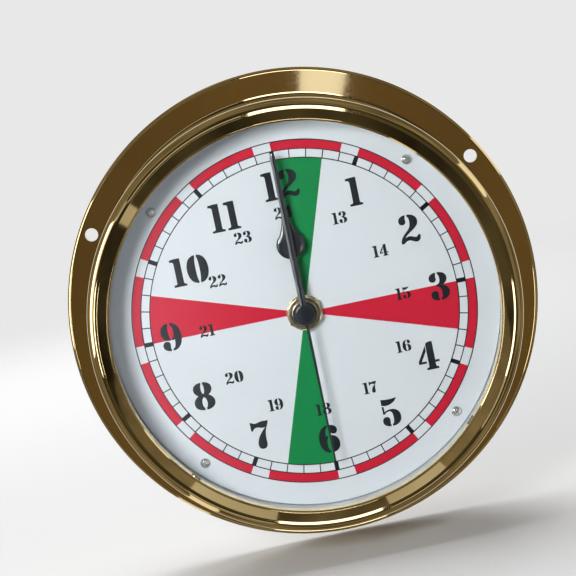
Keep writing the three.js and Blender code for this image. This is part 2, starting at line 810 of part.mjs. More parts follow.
/** Hour hand: stem, round bulb and a hollow taper to the tip. */
function hourHand() {
  const stem = hourHandStemWidth / 2;
  const bulb = hourHandBulbDiameter / 2;
  const halfWidths = [[stem, hourHandHubDiameter / 2]];
  const low = -Math.acos(stem / bulb);
  const high = Math.PI / 4;
  const bulbSteps = 8;
  for (let k = 0; k <= bulbSteps; k++) {
    const turn = low + ((high - low) * k) / bulbSteps;
    halfWidths.push([bulb * Math.cos(turn), hourHandBulbDistance + bulb * Math.sin(turn)]);
  }
  const [bulbEndWidth, bulbEndDistance] = halfWidths[halfWidths.length - 1];
  const taper = new THREE.QuadraticBezierCurve(
    new THREE.Vector2(bulbEndWidth, bulbEndDistance),
    new THREE.Vector2(
      stem * hourHandTaperShares[0], hourHandBulbDistance + bulb * hourHandTaperShares[1]),
    new THREE.Vector2(hourHandTipWidth / 2, hourHandLength));
  for (const p of taper.getPoints(6).slice(1)) halfWidths.push([p.x, p.y]);
  const outline = handOutline(halfWidths, hourHandHubDiameter, hourPipeDiameter + 2 * fitGap);
  return plate(outline, hourHandLow, hourHandLow + handThickness, smallFacets / 2);
}

/** Minute hand: straight, with a short pointed end. */
function minuteHand() {
  const outline = handOutline([
    [minuteHandWidth / 2, minuteHandHubDiameter / 2],
    [minuteHandEndWidth / 2, minuteHandLength - minuteHandPoint],
    [minuteHandTipWidth / 2, minuteHandLength],
  ], minuteHandHubDiameter, minuteTubeDiameter + 2 * fitGap);
  return plate(outline, minuteHandLow, minuteHandLow + handThickness, smallFacets / 2);
}

/** Second hand: thin, with a round hub disc, pointing to the half minute. */
function secondHand() {
  const outline = handOutline([
    [secondHandWidth / 2, secondHandHubDiameter / 2],
    [secondHandEndWidth / 2, secondHandLength],
  ], secondHandHubDiameter);
  const blade = plate(outline, secondHandLow, secondHandLow + handThickness, smallFacets / 2);
  const hub = rod(
    secondHandHubDiameter, secondHandLow, secondHandLow + secondHandHubThickness, midFacets);
  return joined(blade, hub).rotate([0, 0, 180]);
}

const secondTubeTop = secondHandLow - seatGap;
const secondTubeLow = minuteHandLow + handThickness + seatGap;
const minuteTubeTop = minuteHandLow + handThickness;
const hourPipeTop = hourHandLow + handThickness;

/** Small brass tube under the second hand, pushed onto its arbor. */
function secondHandTube() {
  return tube(
    secondHandTubeDiameter, secondArborDiameter + 2 * fitGap, secondTubeLow, secondTubeTop);
}

// Phases of the wheels, so that all of them are in mesh at rest
const secondsPhase = heading(axis, intermediatePlace);
const intermediatePinionPhase = meshPhase(
  secondsPhase, secondsTeeth, intermediatePinionTeeth, heading(axis, intermediatePlace));
const intermediatePhase = heading(intermediatePlace, rotorPlace);
const rotorPhase = meshPhase(
  intermediatePhase, intermediateTeeth, rotorTeeth, heading(intermediatePlace, rotorPlace));
const secondsPinionPhase = heading(axis, thirdPlace);
const thirdPhase = meshPhase(
  secondsPinionPhase, secondsPinionTeeth, thirdTeeth, heading(axis, thirdPlace));
const centrePhase = heading(axis, thirdPlace);
const thirdPinionPhase = meshPhase(
  centrePhase, centreTeeth, thirdPinionTeeth, heading(axis, thirdPlace));
const cannonPhase = heading(axis, minutePlace);
const minuteWheelPhase = meshPhase(
  cannonPhase, cannonTeeth, minuteWheelTeeth, heading(axis, minutePlace));
const hourPhase = heading(axis, minutePlace);
const minutePinionPhase = meshPhase(
  hourPhase, hourWheelTeeth, minutePinionTeeth, heading(axis, minutePlace));
const knobPhase = meshPhase(
  minuteWheelPhase, minuteWheelTeeth, knobTeeth, heading(minutePlace, knobPlace));

/** Toothed disc or pinion between two levels above the movement's back. */
function toothed(teeth, module, phase, place, level, thickness) {
  const low = movementBack + level;
  return plate(toothedOutline(teeth, module, phase, place), low, low + thickness);
}

/** Seconds wheel and its pinion on the long arbor that carries the second hand. */
function secondsWheel() {
  const pinionTop = cannonEndLevel - seatGap;
  return joined(
    rod(secondArborDiameter, arborEnd, secondHandLow - seatGap, smallFacets),
    toothed(secondsTeeth, secondsMeshModule, secondsPhase, axis, secondsWheelLevel, wheelThickness),
    toothed(secondsPinionTeeth, thirdMeshModule, secondsPinionPhase, axis,
      secondsWheelLevel + wheelThickness / 2, pinionTop - secondsWheelLevel - wheelThickness / 2),
  );
}

/** Intermediate wheel between the rotor and the seconds wheel. */
function intermediateWheel() {
  const pinionLow = secondsWheelLevel - runningGap;
  return joined(
    rod(arborDiameter, arborEnd, trainPlateTop, smallFacets, intermediatePlace),
    toothed(intermediatePinionTeeth, secondsMeshModule, intermediatePinionPhase, intermediatePlace,
      pinionLow, thirdWheelLevel + wheelThickness / 2 - pinionLow),
    toothed(intermediateTeeth, rotorMeshModule, intermediatePhase, intermediatePlace,
      thirdWheelLevel, wheelThickness),
  );
}

/** Rotor arbor with its pinion. */
function rotorPinion() {
  const pinionLow = thirdWheelLevel - runningGap;
  return joined(
    rod(arborDiameter, arborEnd, trainPlateTop, smallFacets, rotorPlace),
    toothed(rotorTeeth, rotorMeshModule, rotorPhase, rotorPlace,
      pinionLow, magnetLevel - seatGap - pinionLow),
  );
}

/** Ring magnet on the rotor arbor. */
function rotorMagnet() {
  const low = movementBack + magnetLevel;
  return tube(
    magnetDiameter, arborDiameter + 2 * fitGap, low, low + magnetThickness, smallFacets, rotorPlace);
}

/** Third wheel and its pinion, between the seconds pinion and the centre wheel. */
function thirdWheel() {
  const pinionTop = centreWheelLevel + wheelThickness + runningGap;
  return joined(
    rod(arborDiameter, arborEnd, trainPlateTop, smallFacets, thirdPlace),
    toothed(thirdTeeth, thirdMeshModule, thirdPhase, thirdPlace, thirdWheelLevel, wheelThickness),
    toothed(thirdPinionTeeth, centreMeshModule, thirdPinionPhase, thirdPlace,
      thirdWheelLevel + wheelThickness / 2, pinionTop - thirdWheelLevel - wheelThickness / 2),
  );
}

/** Centre wheel, which drives the minute cannon through its friction. */
function centreWheel() {
  const bore = rod(
    minuteTubeDiameter + 2 * fitGap, movementBack + centreWheelLevel - overrun,
    movementBack + centreWheelLevel + wheelThickness + overrun, midFacets);
  return cut(
    toothed(centreTeeth, centreMeshModule, centrePhase, axis, centreWheelLevel, wheelThickness), bore);
}

/** Minute cannon: tube to the minute hand with the pinion of the motion work. */
function minuteCannon() {
  const tubeLow = movementBack + cannonEndLevel;
  const pinionLow = movementBack + cannonPinionLevel;
  const pinionTop = movementBack + hourWheelLevel - seatGap;
  const collarTop = trainPlateLow - seatGap;
  const collar = rod(
    minuteTubeDiameter + 4 * runningGap, movementBack + centreWheelLevel + wheelThickness + seatGap,
    collarTop, midFacets);
  const body = joined(
    rod(minuteTubeDiameter, tubeLow, minuteTubeTop, midFacets),
    plate(toothedOutline(cannonTeeth, motionMeshModule, cannonPhase), pinionLow, pinionTop),
    collar,
  );
  return cut(body, rod(minuteTubeBore, tubeLow - overrun, minuteTubeTop + overrun, smallFacets));
}

/** Minute wheel of the motion work, on its stud. */
function minuteWheel() {
  const pinionTop = hourWheelLevel + wheelThickness + runningGap;
  const body = joined(
    toothed(minuteWheelTeeth, motionMeshModule, minuteWheelPhase, minutePlace,
      minuteWheelLevel, wheelThickness),
    toothed(minutePinionTeeth, hourMeshModule, minutePinionPhase, minutePlace,
      minuteWheelLevel + wheelThickness / 2, pinionTop - minuteWheelLevel - wheelThickness / 2),
  );
  const bore = rod(
    studDiameter + 2 * fitGap, movementBack + minuteWheelLevel - overrun,
    movementBack + pinionTop + overrun, smallFacets, minutePlace);
  return cut(body, bore);
}

/** Hour wheel with the pipe that carries the hour hand. */
function hourWheel() {
  const low = movementBack + hourWheelLevel;
  const body = joined(
    toothed(hourWheelTeeth, hourMeshModule, hourPhase, axis, hourWheelLevel, wheelThickness),
    rod(hourPipeDiameter, low, hourPipeTop, midFacets),
  );
  const bore = rod(
    minuteTubeDiameter + 2 * runningGap, low - overrun, hourPipeTop + overrun, midFacets);
  return cut(body, bore);
}

/** Setting knob with its gripped head, shaft and gear. */
function settingKnob() {
  const headTop = movementBack - knobGap;
  const radius = knobDiameter / 2;
  const corners = [];
  for (let k = 0; k < 2 * knobGrips; k++) {
    const corner = clockPoint(
      radius - (k % 2 ? knobGripDepth : 0), (180 * k) / knobGrips, knobPlace);
    corners.push([corner.x, corner.y]);
  }
  const gearLow = movementBack + minuteWheelLevel - runningGap;
  return joined(
    plate(outlineOf(corners), headTop - knobHeight, headTop),
    rod(knobShaftDiameter, headTop - knobHeight / 2, gearLow + wheelThickness, smallFacets, knobPlace),
    plate(toothedOutline(knobTeeth, motionMeshModule, knobPhase, knobPlace),
      gearLow, gearLow + wheelThickness + 2 * runningGap),
  );
}

/** Stator plate: rim round the rotor and an arm to each end of the coil. */
function stator() {
  const rim = statorRadius;
  const armTop = coilAxisY + coreWidth / 2;
  const barTop = rotorPlace.y + rim;
  const barLow = rotorPlace.y - rim;
  const outline = outlineOf([
    [rotorPlace.x - rim, barLow + rim / 2],
    [rotorPlace.x - rim / 2, barLow],
    [coilRight - statorArmWidth / 2, barLow],
    [coilRight, barLow + statorArmWidth],
    [coilRight, armTop],
    [coilRight - statorArmWidth, armTop],
    [coilRight - statorArmWidth, barTop],
    [coilLeft + statorArmWidth, barTop],
    [coilLeft + statorArmWidth, armTop],
    [coilLeft, armTop],
    [coilLeft, rotorPlace.y + rim / 2],
  ]);
  const rotorHole = rod(
    magnetDiameter + 2 * statorAirGap, statorLow - overrun, statorLow + statorThickness + overrun,
    midFacets, rotorPlace);
  return cut(plate(outline, statorLow, statorLow + statorThickness), rotorHole);
}

/** Turned solid about the coil's axis, from its section in [radius, x] corners. */
function turnedOnCoil(section, facets) {
  return turned(section, facets).rotate([0, 90, 0]).translate([0, coilAxisY, coilAxisLevel]);
}

/** Iron core bar through the coil, lying on the stator's arms. */
function coilCore() {
  return plate(
    rectangle(coilLeft, coilAxisY - coreWidth / 2, coilRight, coilAxisY + coreWidth / 2),
    coreTop - coreThickness, coreTop);
}

const bobbinLow = coilLeft + statorArmWidth + seatGap;
const bobbinHigh = coilRight - statorArmWidth - seatGap;

/** Bobbin: a spool whose square hole clears the core. */
function coilBobbin() {
  const [flange, barrel] = [coilFlangeDiameter / 2, coilTubeDiameter / 2];
  const spool = turnedOnCoil([
    [0, bobbinLow], [flange, bobbinLow], [flange, bobbinLow + coilFlangeThickness],
    [barrel, bobbinLow + coilFlangeThickness], [barrel, bobbinHigh - coilFlangeThickness],
    [flange, bobbinHigh - coilFlangeThickness], [flange, bobbinHigh], [0, bobbinHigh],
  ], smallFacets);
  const hole = plate(
    rectangle(
      bobbinLow - overrun, coilAxisY - coreWidth / 2 - fitGap,
      bobbinHigh + overrun, coilAxisY + coreWidth / 2 + fitGap),
    coreTop - coreThickness - fitGap, coreTop + fitGap);
  return cut(spool, hole);
}

/** Copper winding between the bobbin's flanges. */
function coilWinding() {
  const [outer, inner] = [coilWireDiameter / 2, coilTubeDiameter / 2 + fitGap];
  const low = bobbinLow + coilFlangeThickness + fitGap;
  const high = bobbinHigh - coilFlangeThickness - fitGap;
  return turnedOnCoil([[inner, low], [outer, low], [outer, high], [inner, high]], smallFacets);
}

// Circuit board and what stands on it
const boardLow = rearInner + seatGap;
const boardTop = boardLow + boardThickness;

/** Circuit board behind the train. */
function circuitBoard() {
  return plate(
    rectangle(boardLeft, boardBottom, boardLeft + boardWidth, boardBottom + boardHeight),
    boardLow, boardTop);
}

/** Place on the board from its shares of the board's width and height. */
function boardPlace([across, up]) {
  return new THREE.Vector2(boardLeft + across * boardWidth, boardBottom + up * boardHeight);
}

/** Round blob over the timer chip. */
function timerChip() {
  const low = boardTop + fitGap;
  const radius = chipDiameter / 2;
  return turned([
    [0, low], [radius, low],
    [radius * chipCrownShares[0], low + chipHeight * chipCrownShares[1]], [0, low + chipHeight],
  ], smallFacets, boardPlace(chipPlaceShares));
}

/** Quartz crystal in its small can, lying on the board. */
function quartzCrystal() {
  const place = boardPlace(crystalPlaceShares);
  const can = rod(crystalDiameter, -crystalLength / 2, crystalLength / 2, smallFacets);
  return can.rotate([0, 90, 0]).translate([
    place.x, place.y, boardTop + fitGap + crystalDiameter / 2]);
}

const batteryLow = -batteryLength / 2;

/** AA cell lying along the tray, its raised pole towards +x. */
function battery() {
  const [radius, nub] = [batteryDiameter / 2, batteryNubDiameter / 2];
  const shoulderX = batteryLow + batteryLength - batteryNubLength;
  const cell = turned([
    [0, batteryLow], [radius - batteryCrimp, batteryLow], [radius, batteryLow + batteryCrimp],
    [radius, shoulderX - batteryCrimp], [radius - batteryCrimp, shoulderX],
    [nub, shoulderX], [nub, shoulderX + batteryNubLength], [0, shoulderX + batteryNubLength],
  ], midFacets);
  return cell.rotate([0, 90, 0]).translate([0, batteryAxisY, batteryAxisLevel]);
}

/** Sprung contact strip at one end of the tray; side 1 is the end at +x. */
function batteryContact(side) {
  const wall = innerHalf - seatGap;
  const end = batteryLength / 2 + seatGap;
  const low = batteryAxisLevel - contactWidth / 2;
  const reach = batteryDiameter / 2 - movementCorner / 2;
  const bow = [
    [wall, -reach], [end + contactThickness, 0], [wall, reach],
    [wall - contactThickness, reach], [end, 0], [wall - contactThickness, -reach],
  ];
  const outline = outlineOf(bow.map(([x, y]) => [side * x, batteryAxisY + y]));
  return plate(outline, low, low + contactWidth);
}

const clock = new THREE.Group();
clock.rotation.x = Math.PI / 2;

/** Adds a named piece to the clock. */
function addPiece(name, body, finish) {
  const mesh = new THREE.Mesh(geometryOf(body), finishes[finish]);
  mesh.name = name;
  clock.add(mesh);
}

addPiece('case_body', caseBody(), 'polishedBrass');
addPiece('dial_seat_ring', dialSeatRing(), 'plainBrass');
addPiece('bezel_ring', bezelRing(), 'polishedBrass');
addPiece('front_glass', frontGlass(), 'glass');
addPiece('bezel_gasket', bezelGasket(), 'rubber');
addPiece('dial_surround_ring', dialSurroundRing(), 'ringWhite');
addPiece('dial_plate', dialPlate(), 'dialWhite');
dialScrewPlaces.forEach((place, k) =>
  addPiece(`dial_screw_${k + 1}`, panScrew(place, dialHeight, 1, dialScrewSize), 'steel'));
addPiece('rear_cover', rearCover(), 'plainBrass');
coverScrewPlaces.forEach((place, k) =>
  addPiece(`rear_cover_screw_${k + 1}`, panScrew(place, coverInset, -1, coverScrewSize), 'steel'));

addPiece('movement_front_case', movementFrontCase(), 'blackPlastic');
addPiece('movement_rear_case', movementRearCase(), 'blackPlastic');
addPiece('train_plate', trainPlate(), 'whitePlastic');
addPiece('centre_bush', centreBush(), 'plainBrass');
addPiece('rubber_washer', rubberWasher(), 'rubber');
addPiece('brass_washer', brassWasher(), 'plainBrass');
addPiece('fixing_nut', fixingNut(), 'plainBrass');

addPiece('hour_hand', hourHand(), 'handBlack');
addPiece('minute_hand', minuteHand(), 'handBlack');
addPiece('second_hand', secondHand(), 'handBlack');
addPiece('second_hand_tube', secondHandTube(), 'plainBrass');

addPiece('rotor_pinion', rotorPinion(), 'whitePlastic');
addPiece('rotor_magnet', rotorMagnet(), 'dullSteel');
addPiece('intermediate_wheel', intermediateWheel(), 'whitePlastic');
addPiece('seconds_wheel', secondsWheel(), 'whitePlastic');
addPiece('third_wheel', thirdWheel(), 'whitePlastic');
addPiece('centre_wheel', centreWheel(), 'whitePlastic');
addPiece('minute_cannon', minuteCannon(), 'whitePlastic');
addPiece('minute_wheel', minuteWheel(), 'whitePlastic');
addPiece('hour_wheel', hourWheel(), 'whitePlastic');
addPiece('setting_knob', settingKnob(), 'whitePlastic');

addPiece('stator', stator(), 'dullSteel');
addPiece('coil_core', coilCore(), 'dullSteel');
addPiece('coil_bobbin', coilBobbin(), 'whitePlastic');
addPiece('coil_winding', coilWinding(), 'copper');
addPiece('circuit_board', circuitBoard(), 'board');
addPiece('timer_chip', timerChip(), 'blackPlastic');
addPiece('quartz_crystal', quartzCrystal(), 'dullSteel');
addPiece('battery', battery(), 'battery');
addPiece('battery_contact_positive', batteryContact(1), 'steel');
addPiece('battery_contact_negative', batteryContact(-1), 'steel');

export default clock;
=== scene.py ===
"""Looks of the radio room clock: brass case and bezel, printed dial, hands and movement.

Lengths are written in millimetres, as radius from the hands' axis and height above the wall
plane, and become metres when a mesh is made. The clock stands with +Z up and its dial facing -Y.
"""

from __future__ import annotations

import logging
import math
import re
from dataclasses import dataclass
from enum import Enum
from typing import Callable, Optional, Sequence

import bmesh
import bpy
from mathutils import Matrix, Vector
from mathutils.geometry import tessellate_polygon

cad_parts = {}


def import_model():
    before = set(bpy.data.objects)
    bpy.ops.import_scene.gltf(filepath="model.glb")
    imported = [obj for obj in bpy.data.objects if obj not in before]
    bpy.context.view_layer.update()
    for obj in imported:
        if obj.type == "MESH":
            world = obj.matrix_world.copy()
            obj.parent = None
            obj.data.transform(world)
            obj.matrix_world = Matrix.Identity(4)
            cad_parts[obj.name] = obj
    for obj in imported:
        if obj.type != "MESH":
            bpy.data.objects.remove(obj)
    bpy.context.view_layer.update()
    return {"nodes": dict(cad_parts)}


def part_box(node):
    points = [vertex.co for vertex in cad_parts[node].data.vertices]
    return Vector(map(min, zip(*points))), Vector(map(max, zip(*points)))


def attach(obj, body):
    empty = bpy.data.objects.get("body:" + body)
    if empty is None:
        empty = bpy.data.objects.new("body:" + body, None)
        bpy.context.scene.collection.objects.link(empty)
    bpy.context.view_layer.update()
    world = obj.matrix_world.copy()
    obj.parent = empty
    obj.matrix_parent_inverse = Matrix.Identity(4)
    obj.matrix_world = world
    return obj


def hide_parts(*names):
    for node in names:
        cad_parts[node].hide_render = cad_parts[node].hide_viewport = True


MM = 0.001
ROUND = 192  # faces round a main ring
FINE = 240  # faces round the bezel and the printed circles
SMALL = 96  # faces round a small turned part
FULL = 360.0
WELD = 1e-7  # corners nearer than this are one, in metres
Corner = tuple[float, float]
Outline = list[Corner]
Shape = list[Outline]  # an outer edge and its holes
Section = Sequence[tuple[float, ...]]  # (radius, height) or (radius, height, fillet)
Station = tuple[float, float, float]  # distance, half width and rise of a hand
Four = tuple[float, float, float, float]
Colour = tuple[float, float, float]

log = logging.getLogger("clock")


class Grain(Enum):
    """What the surface of a finish looks like from close by."""

    POLISHED = "polished"
    TURNED = "turned"
    MOULDED = "moulded"
    ENAMEL = "enamel"
    PRINT = "print"
    LAMINATE = "laminate"


class Half(Enum):
    """Side that a screw's head faces."""

    FRONT = -1
    BACK = 1


class Cut(Enum):
    """What a cutting tool leaves of a form."""

    OUTSIDE = "DIFFERENCE"
    INSIDE = "INTERSECT"


class NodeBoard:
    """Short way to add and join nodes in a tree."""

    def __init__(self, tree: bpy.types.NodeTree) -> None:
        """Keeps the tree that gets the nodes."""
        self.tree = tree

    def fill(self, node: bpy.types.Node, values: dict) -> None:
        """Sets a node's sockets.

        Args:
            node: the node.
            values: sockets by name or index, each a value or another node's output.
        """
        for key, value in values.items():
            socket = node.inputs[key]
            if isinstance(value, bpy.types.NodeSocket):
                self.tree.links.new(value, socket)
            else:
                socket.default_value = value

    def add(self, kind: str, values: Optional[dict] = None, **settings: object) -> bpy.types.Node:
        """Adds a node.

        Args:
            kind: the node's type name.
            values: sockets by name or index, each a value or another node's output.
            settings: the node's own properties.

        Returns:
            The new node.
        """
        node = self.tree.nodes.new(kind)
        for name, value in settings.items():
            setattr(node, name, value)
        self.fill(node, values or {})
        return node

    def math(self, operation: str, *values: object) -> bpy.types.NodeSocket:
        """Adds a Math node and returns its output."""
        node = self.add("ShaderNodeMath", dict(enumerate(values)), operation=operation)
        return node.outputs[0]

    def weighed(
        self, first: bpy.types.NodeSocket, share: float, second: bpy.types.NodeSocket
    ) -> bpy.types.NodeSocket:
        """Mean of two values, with the first one's share of it."""
        parts = ((first, share), (second, 1.0 - share))
        return self.math("ADD", *(self.math("MULTIPLY", part, weight) for part, weight in parts))

    def ramp(
        self, value: bpy.types.NodeSocket, ends: Corner, colours: Sequence[Colour]
    ) -> bpy.types.NodeSocket:
        """Fades from one colour to another.

        Args:
            value: what the fade follows.
            ends: the values at which it starts and ends.
            colours: the colours there.

        Returns:
            The colour.
        """
        node = self.add("ShaderNodeValToRGB", {"Fac": value})
        for element, place, colour in zip(node.color_ramp.elements, ends, colours):
            element.position = place
            element.color = (*colour, 1.0)
        return node.outputs["Color"]

    def show(self, light: bpy.types.NodeSocket) -> None:
        """Makes a shader the material's surface."""
        self.fill(self.tree.nodes["Material Output"], {"Surface": light})


class Dressing:
    """A finish whose material is made on its first use."""

    name: str

    def material(self) -> bpy.types.Material:
        """Returns the material."""
        known = bpy.data.materials.get(self.name)
        if known:
            return known
        made = bpy.data.materials.new(self.name)
        made.use_nodes = True
        self.dress(NodeBoard(made.node_tree), made.node_tree.nodes["Principled BSDF"])
        return made

    def dress(self, board: NodeBoard, shader: bpy.types.Node) -> None:
        """Adds the finish's nodes; each kind of finish has its own."""
        raise NotImplementedError


@dataclass(frozen=True)
class Finish(Dressing):
    """A material made of nodes: base colour, sheen and the fine marks of its making."""

    name: str
    colour: Colour
    roughness: float
    metallic: float = 0.0
    grain: Grain = Grain.MOULDED
    grain_size: float = 0.6
    tone: float = 0.06
    roughness_spread: float = 0.06
    depth: float = 0.004
    coat: float = 0.0
    specular: float = 0.5
    patch_scale: float = 45.0
    line_pull: float = 6.0

    def dress(self, board: NodeBoard, shader: bpy.types.Node) -> None:
        """Varies colour and roughness, broadly and finely, and raises the grain.

        Args:
            board: the material's nodes.
            shader: its Principled shader.
        """
        where = board.add("ShaderNodeTexCoord").outputs["Object"]
        fine = self.fine_marks(board, where)
        patches = {"Vector": where, "Scale": self.patch_scale, "Detail": 4.0, "Roughness": 0.6}
        broad = board.add("ShaderNodeTexNoise", patches).outputs["Fac"]
        tones = [
            tuple(min(1.0, part * (1 + tone)) for part in self.colour)
            for tone in (-self.tone, self.tone)
        ]
        rough = {
            "Value": board.weighed(fine, 0.5, broad),
            "From Min": 0.3,
            "From Max": 0.7,
            "To Min": max(0.02, self.roughness - self.roughness_spread),
            "To Max": min(1.0, self.roughness + self.roughness_spread),
        }
        raised = {"Height": fine, "Strength": 0.5, "Distance": self.depth * MM}
        surface = {
            "Metallic": self.metallic,
            "Coat Weight": self.coat,
            "Coat Roughness": 0.06,
            "Specular IOR Level": self.specular,
            "Base Color": board.ramp(board.weighed(fine, 0.35, broad), (0.3, 0.7), tones),
            "Roughness": board.add("ShaderNodeMapRange", rough).outputs[0],
            "Normal": board.add("ShaderNodeBump", raised).outputs[0],
        }
        board.fill(shader, surface)

    def fine_marks(self, board: NodeBoard, where: bpy.types.NodeSocket) -> bpy.types.NodeSocket:
        """Makes the fine pattern of the grain, on lines round the axis where it was turned.

        Args:
            board: the material's nodes.
            where: Object coordinates.

        Returns:
            A value from 0 to 1.
        """
        detail = {Grain.TURNED: 3.0, Grain.MOULDED: 2.0}.get(self.grain, 6.0)
        if self.grain is Grain.TURNED:
            split = board.add("ShaderNodeSeparateXYZ", {0: where}).outputs
            squares = [board.math("MULTIPLY", split[axis], split[axis]) for axis in "XZ"]
            radius = board.math("SQRT", board.math("ADD", *squares))
            lines = {"X": board.math("MULTIPLY", radius, self.line_pull), "Y": split["Y"]}
            where = board.add("ShaderNodeCombineXYZ", lines).outputs[0]
        pattern = {"Vector": where, "Scale": 1.0 / (self.grain_size * MM), "Detail": detail}
        return board.add("ShaderNodeTexNoise", pattern).outputs["Fac"]


@dataclass(frozen=True)
class GlassFinish(Dressing):
    """Clear pane that lets the lamps reach the dial."""

    name: str = "clear pane"
    tint: Colour = (0.97, 0.985, 0.98)
    bend: float = 1.45
    haze: float = 0.03

    def dress(self, board: NodeBoard, shader: bpy.types.Node) -> None:
        """Clear to the camera, with a breath of haze, and open to lamps and bounces.

        Args:
            board: the material's nodes.
            shader: its Principled shader.
        """
        where = board.add("ShaderNodeTexCoord").outputs["Object"]
        clouds = board.add("ShaderNodeTexNoise", {"Vector": where, "Scale": 80.0, "Detail": 5.0})
        rough = {"Value": clouds.outputs["Fac"], "From Min": 0.4, "From Max": 0.8}
        rough["To Max"] = self.haze
        pane = {
            "Base Color": (*self.tint, 1.0),
            "Transmission Weight": 1.0,
            "IOR": self.bend,
            "Roughness": board.add("ShaderNodeMapRange", rough).outputs[0],
        }
        board.fill(shader, pane)
        open_way = board.add("ShaderNodeBsdfTransparent", {"Color": (*self.tint, 1.0)})
        path = board.add("ShaderNodeLightPath").outputs
        through = board.math("MAXIMUM", path["Is Shadow Ray"], path["Is Diffuse Ray"])
        sides = {0: through, 1: shader.outputs[0], 2: open_way.outputs[0]}
        board.show(board.add("ShaderNodeMixShader", sides).outputs[0])


@dataclass(frozen=True)
class Glow(Dressing):
    """Light of a reflection card: soft patches between two colours, or a fade along X."""

    name: str
    low: Colour
    high: Colour
    fade: Optional[Corner] = None

    def dress(self, board: NodeBoard, shader: bpy.types.Node) -> None:
        """Replaces the shader by a light.

        Args:
            board: the material's nodes.
            shader: its Principled shader, which isn't used.
        """
        board.tree.nodes.remove(shader)
        where = board.add("ShaderNodeTexCoord").outputs["Object"]
        ends = (0.35, 0.65)
        if self.fade:
            ends = (0.0, 1.0)
            along = {"Value": board.add("ShaderNodeSeparateXYZ", {0: where}).outputs["X"]}
            along |= {"From Min": self.fade[0] * MM, "From Max": self.fade[1] * MM}
            ease = board.add("ShaderNodeMapRange", along, interpolation_type="SMOOTHSTEP")
            share = ease.outputs[0]
        else:
            patches = {"Vector": where, "Scale": 2.6, "Detail": 3.0}
            share = board.add("ShaderNodeTexNoise", patches).outputs["Fac"]
        colour = board.ramp(share, ends, (self.low, self.high))
        board.show(board.add("ShaderNodeEmission", {"Color": colour}).outputs[0])


@dataclass(frozen=True)
class FloorFinish(Dressing):
    """Pale matt floor that fades out round the clock."""

    name: str = "pale floor"
    colour: Colour = (0.66, 0.66, 0.66)
    fade: Corner = (0.25, 0.95)

    def dress(self, board: NodeBoard, shader: bpy.types.Node) -> None:
        """Matt near the clock, and clear from a reach of nearly a metre on.

        Args:
            board: the material's nodes.
            shader: its Principled shader.
        """
        matt = {"Base Color": (*self.colour, 1.0), "Roughness": 0.9, "Specular IOR Level": 0.0}
        board.fill(shader, matt)
        where = board.add("ShaderNodeTexCoord").outputs["Object"]
        reach = board.add("ShaderNodeVectorMath", {0: where}, operation="LENGTH")
        away = {"Value": reach.outputs["Value"]}
        away |= {"From Min": self.fade[0], "From Max": self.fade[1]}
        share = board.add("ShaderNodeMapRange", away, interpolation_type="SMOOTHSTEP")
        clear = board.add("ShaderNodeBsdfTransparent")
        sides = {0: share.outputs[0], 1: shader.outputs[0], 2: clear.outputs[0]}
        board.show(board.add("ShaderNodeMixShader", sides).outputs[0])


POLISHED_BRASS = Finish(
    "polished brass", (0.87, 0.69, 0.36), 0.04, 1.0, Grain.POLISHED, 0.9, 0.05, 0.02, 0.0008
)
PALE_BRASS = Finish(
    "pale brass", (0.78, 0.68, 0.47), 0.16, 1.0, Grain.POLISHED, 0.4, 0.08, 0.06, 0.003
)
PLAIN_BRASS = Finish(
    "turned brass", (0.76, 0.56, 0.25), 0.28, 1.0, Grain.TURNED, 0.25, 0.08, 0.08, 0.006
)
NICKEL = Finish(
    "nickel", (0.68, 0.71, 0.7), 0.2, 0.82, Grain.POLISHED, 0.3, 0.05, 0.05, 0.002
)
BRIGHT_STEEL = Finish(
    "bright steel", (0.72, 0.72, 0.73), 0.2, 1.0, Grain.POLISHED, 0.3, 0.05, 0.08, 0.003
)
DULL_STEEL = Finish(
    "dull steel", (0.42, 0.43, 0.44), 0.42, 1.0, Grain.POLISHED, 0.3, 0.1, 0.1, 0.006
)
DIAL_ENAMEL = Finish(
    "dial enamel", (0.735, 0.77, 0.825), 0.42, 0.0, Grain.ENAMEL, 1.4, 0.02, 0.06, 0.004, 0.0, 0.3
)
RING_WHITE = Finish(
    "ring white", (0.62, 0.66, 0.68), 0.5, 0.0, Grain.MOULDED, 0.5, 0.03, 0.05, 0.004
)
PRINT_BLACK = Finish(
    "black print", (0.011, 0.014, 0.018), 0.55, 0.0, Grain.PRINT, 0.35, 0.35, 0.08, 0.003, 0.0, 0.2
)
PRINT_RED = Finish(
    "red print", (0.6, 0.012, 0.038), 0.5, 0.0, Grain.PRINT, 0.5, 0.08, 0.06, 0.003, 0.0, 0.2
)
PRINT_GREEN = Finish(
    "green print", (0.005, 0.22, 0.06), 0.5, 0.0, Grain.PRINT, 0.5, 0.1, 0.06, 0.003, 0.0, 0.2
)
HAND_BLACK = Finish(
    "hand black", (0.02, 0.023, 0.029), 0.16, 0.0, Grain.ENAMEL, 0.9, 0.1, 0.03, 0.0004, 0.8, 0.4
)
BLACK_PLASTIC = Finish(
    "black plastic", (0.02, 0.021, 0.023), 0.45, 0.0, Grain.MOULDED, 0.25, 0.15, 0.08, 0.012
)
GLOSSY_PLASTIC = Finish(
    "glossy plastic", (0.032, 0.033, 0.035), 0.2, 0.0, Grain.MOULDED, 0.4, 0.1, 0.04, 0.003
)
WHITE_PLASTIC = Finish(
    "white plastic", (0.78, 0.77, 0.72), 0.35, 0.0, Grain.MOULDED, 0.5, 0.04, 0.08, 0.006
)
BLACK_RUBBER = Finish(
    "black rubber", (0.018, 0.018, 0.019), 0.75, 0.0, Grain.MOULDED, 0.3, 0.15, 0.08, 0.015
)
COPPER_WIRE = Finish(
    "copper wire", (0.66, 0.2, 0.08), 0.32, 1.0, Grain.TURNED, 0.12, 0.12, 0.1, 0.02
)
